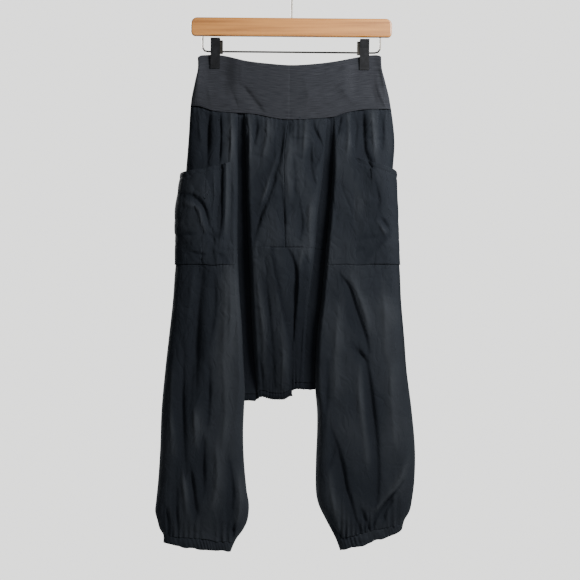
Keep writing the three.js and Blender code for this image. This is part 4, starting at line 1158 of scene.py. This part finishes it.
# The right pocket's columns are turned round, so that its face still points outwards
def makePocket(hand):
    u = np.linspace(0, 1, count(columnCounts["pocket"]))[None, :]
    grid, wearAndPaintedShade = pocketForm(hand, u, rowPlaces(count(rowCounts["pocket"]))[:, None])
    if hand == "right":
        grid, wearAndPaintedShade = grid[:, ::-1], wearAndPaintedShade[:, ::-1]
    clothPiece("pocket_" + hand, grid, "pocket", wearAndPaintedShade=wearAndPaintedShade)


print("cuffs, casing and pockets")
for hand in ("left", "right"):
    makeCuff(hand)
    makePocket(hand)
makeCasing()


# Topstitching: rows of small stitches lying on the cloth, joined in one mesh for each side.
# Rows are so many mm from their seams, but the inseam's lie at shares of the leg's width.
threads = {
    "length": 2.4, "gap": 0.9, "width": 0.5, "height": 0.32,
    "thigh": (-2.4, -6.0), "waist": 2.6, "casing": 1.6, "gusset": -2.6,
    "inseam": (0.925, 0.95), "inseamTop": -800, "inseamLow": -1008,
    "pocket": (2.4, 8.5), "pocketTall": 170, "places": 400,
}


# Each stitch is a stretched octahedron: two tips along the row, two flanks, a crest and a back
def stitchMesh(rows, name, outward):
    out = np.array([0.0, outward, 0.0])
    centres, tangents = [], []
    for row in rows:
        runs = np.concatenate([[0], np.cumsum(np.linalg.norm(np.diff(row, axis=0), axis=1))])
        pitch = threads["length"] + threads["gap"]
        at = np.arange(threads["gap"], runs[-1] - threads["length"], pitch)
        ends = [np.stack([np.interp(at + more, runs, row[:, k]) for k in range(3)], axis=-1)
                for more in (0, threads["length"])]
        centres.append((ends[0] + ends[1]) / 2)
        tangents.append(ends[1] - ends[0])
    centre, half = np.concatenate(centres), np.concatenate(tangents) / 2
    across = np.cross(half, out)
    across = across / np.linalg.norm(across, axis=1)[:, None] * threads["width"] / 2
    lift = out * threads["height"]
    corners = [centre + half, centre + across, centre - half, centre - across,
               centre + lift, centre - lift]
    points = np.stack(corners, axis=1).reshape(-1, 3)
    faces = np.array([[0, 1, 4], [1, 2, 4], [2, 3, 4], [3, 0, 4],
                      [1, 0, 5], [2, 1, 5], [3, 2, 5], [0, 3, 5]])
    every = (faces[None] + 6 * np.arange(len(centre))[:, None, None]).reshape(-1, 3)
    mesh = bpy.data.meshes.new(name)
    mesh.from_pydata((points * metre).tolist(), [], every.tolist())
    mesh.update()
    return mesh


# Points on the cloth for a row of stitches
def clothRow(zone, t, z, side, band=False):
    x, y = clothForm(zone, t, z, side, band)[:2]
    return np.stack([x, y, z], axis=-1)


# A row that keeps its distance from a seam
def seamRow(zone, start, end, seam, away, side, band=False):
    t = np.linspace(start, end, threads["places"])
    return clothRow(zone, t, seam(zone, t, side) + away, side, band)


# Every row of one side; the pockets' rows lie down from their mouths
def stitchRows(side):
    rows = []
    for zone in ("legLeft", "legRight"):
        for away in threads["thigh"]:
            rows.append(seamRow(zone, 0.03, 0.97, hipSeamHeight, away, side))
        for place in threads["inseam"]:
            z = np.linspace(threads["inseamTop"], threads["inseamLow"], threads["places"])
            rows.append(clothRow(zone, place + 0 * z, z, side))
    for zone, start, end in (("legLeft", 0.03, 1), ("yoke", 0, 0.5), ("yoke", 0.52, 1),
                             ("legRight", 1, 0.03)):
        rows.append(seamRow(zone, start, end, waistSeamHeight, threads["waist"], side, band=True))
    for start, end in ((0.3, 0.49), (0.53, 0.9)):
        rows.append(seamRow("gusset", start, end, casingTopHeight, threads["casing"], side))
    rows.append(seamRow("gusset", 0.53, 0.86, hipSeamHeight, threads["gusset"], side))
    if side == "front":
        u = np.linspace(0.03, 0.92, 300)[None, :]
        for hand in ("left", "right"):
            for down in threads["pocket"]:
                rows.append(pocketForm(hand, u, down / threads["pocketTall"] + 0 * u)[0][0])
    return rows


print("topstitching")
for side, outward in (("front", -1), ("back", 1)):
    mesh = stitchMesh(stitchRows(side), "stitches_" + side, outward)
    addObject("stitches_" + side, mesh, finishes["thread"])


# The hanger: its bar, wires, clips and springs are the frame's own solids with their finishes,
# by the last word of their names
hangerFinishes = {
    "bar": "hanger_wood", "hook": "steel_wire", "rod": "steel_wire",
    "front": "clip_black", "back": "clip_black", "spring": "steel_wire",
}

print("hanger")
for node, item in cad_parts.items():
    if node.startswith(("hanger", "clip")):
        item.data.materials.clear()
        item.data.materials.append(finishes[hangerFinishes[node.split("_")[-1]]])


# Studio: a pale world, a pale floor well below, and soft lights
studio = {
    "camera": (-0.0036, -2.90, -0.573), "frameHeight": 1.044, "planeY": -0.007,
    "floor": -1.46, "floorRadius": 1.45,
    "backdrop": (1.0, 1.0, 0.985), "backdropStrength": 1.9,
    "ambient": (0.96, 0.98, 1.0), "ambientStrength": 0.26,
    "lampsAim": (0, 0, -0.58),
}


# The world, and the floor: a disc of rings round the origin
def makeStudio():
    world = bpy.data.worlds.new("studio")
    bpy.context.scene.world = world
    world.use_nodes = True
    # The backdrop shows pale, and lights the garment more softly than it looks
    tree = world.node_tree
    seen, soft = tree.nodes["Background"], tree.nodes.new("ShaderNodeBackground")
    for node, name in ((seen, "backdrop"), (soft, "ambient")):
        node.inputs["Color"].default_value = (*studio[name], 1)
        node.inputs["Strength"].default_value = studio[name + "Strength"]
    either, path = tree.nodes.new("ShaderNodeMixShader"), tree.nodes.new("ShaderNodeLightPath")
    tree.links.new(path.outputs["Is Camera Ray"], either.inputs[0])
    tree.links.new(soft.outputs[0], either.inputs[1])
    tree.links.new(seen.outputs[0], either.inputs[2])
    tree.links.new(either.outputs[0], tree.nodes["World Output"].inputs["Surface"])
    angle = np.linspace(0, 2 * np.pi, 97)[None, :-1]
    radius = np.linspace(studio["floorRadius"], 0.01, 12)[:, None]
    grid = np.stack([radius * np.cos(angle), radius * np.sin(angle),
                     studio["floor"] + 0 * radius * angle], axis=-1) / metre
    mesh = gridMesh("floor", grid, outward=False, closed=True, lengths=grid[..., :2])
    mesh.materials.append(studioFloor())
    floor = bpy.data.objects.new("floor", mesh)
    bpy.context.scene.collection.objects.link(floor)


lamps = {
    "key": {"at": (0.82, -0.78, 0.12), "size": 0.45, "power": 58},
    "fill": {"at": (0.3, -2.6, -0.2), "size": 1.4, "power": 11},
    "backKey": {"at": (-1.1, 1.1, 0.12), "size": 0.7, "power": 74},
    "backFill": {"at": (1.6, 2.2, -0.3), "size": 1.6, "power": 18},
}


# A round soft light, unseen itself, turned to the garment's middle
def makeLamp(name, at, size, power):
    light = bpy.data.lights.new(name, "AREA")
    light.shape = "DISK"
    light.size, light.energy = size, power
    lamp = bpy.data.objects.new(name, light)
    lamp.location = at
    aim = Vector(studio["lampsAim"]) - Vector(at)
    lamp.rotation_euler = aim.to_track_quat("-Z", "Y").to_euler()
    lamp.visible_camera = False
    bpy.context.scene.collection.objects.link(lamp)


# A level camera whose lens just takes in the frame's height at the garment's plane
def makeCamera():
    lens = bpy.data.cameras.new("camera")
    away = studio["planeY"] - studio["camera"][1]
    lens.lens = lens.sensor_width * away / studio["frameHeight"]
    camera = bpy.data.objects.new("camera", lens)
    camera.location = studio["camera"]
    camera.rotation_euler = (math.pi / 2, 0, 0)
    bpy.context.scene.collection.objects.link(camera)
    bpy.context.scene.camera = camera


print("studio")
makeStudio()
for name, lamp in lamps.items():
    makeLamp(name, **lamp)
makeCamera()
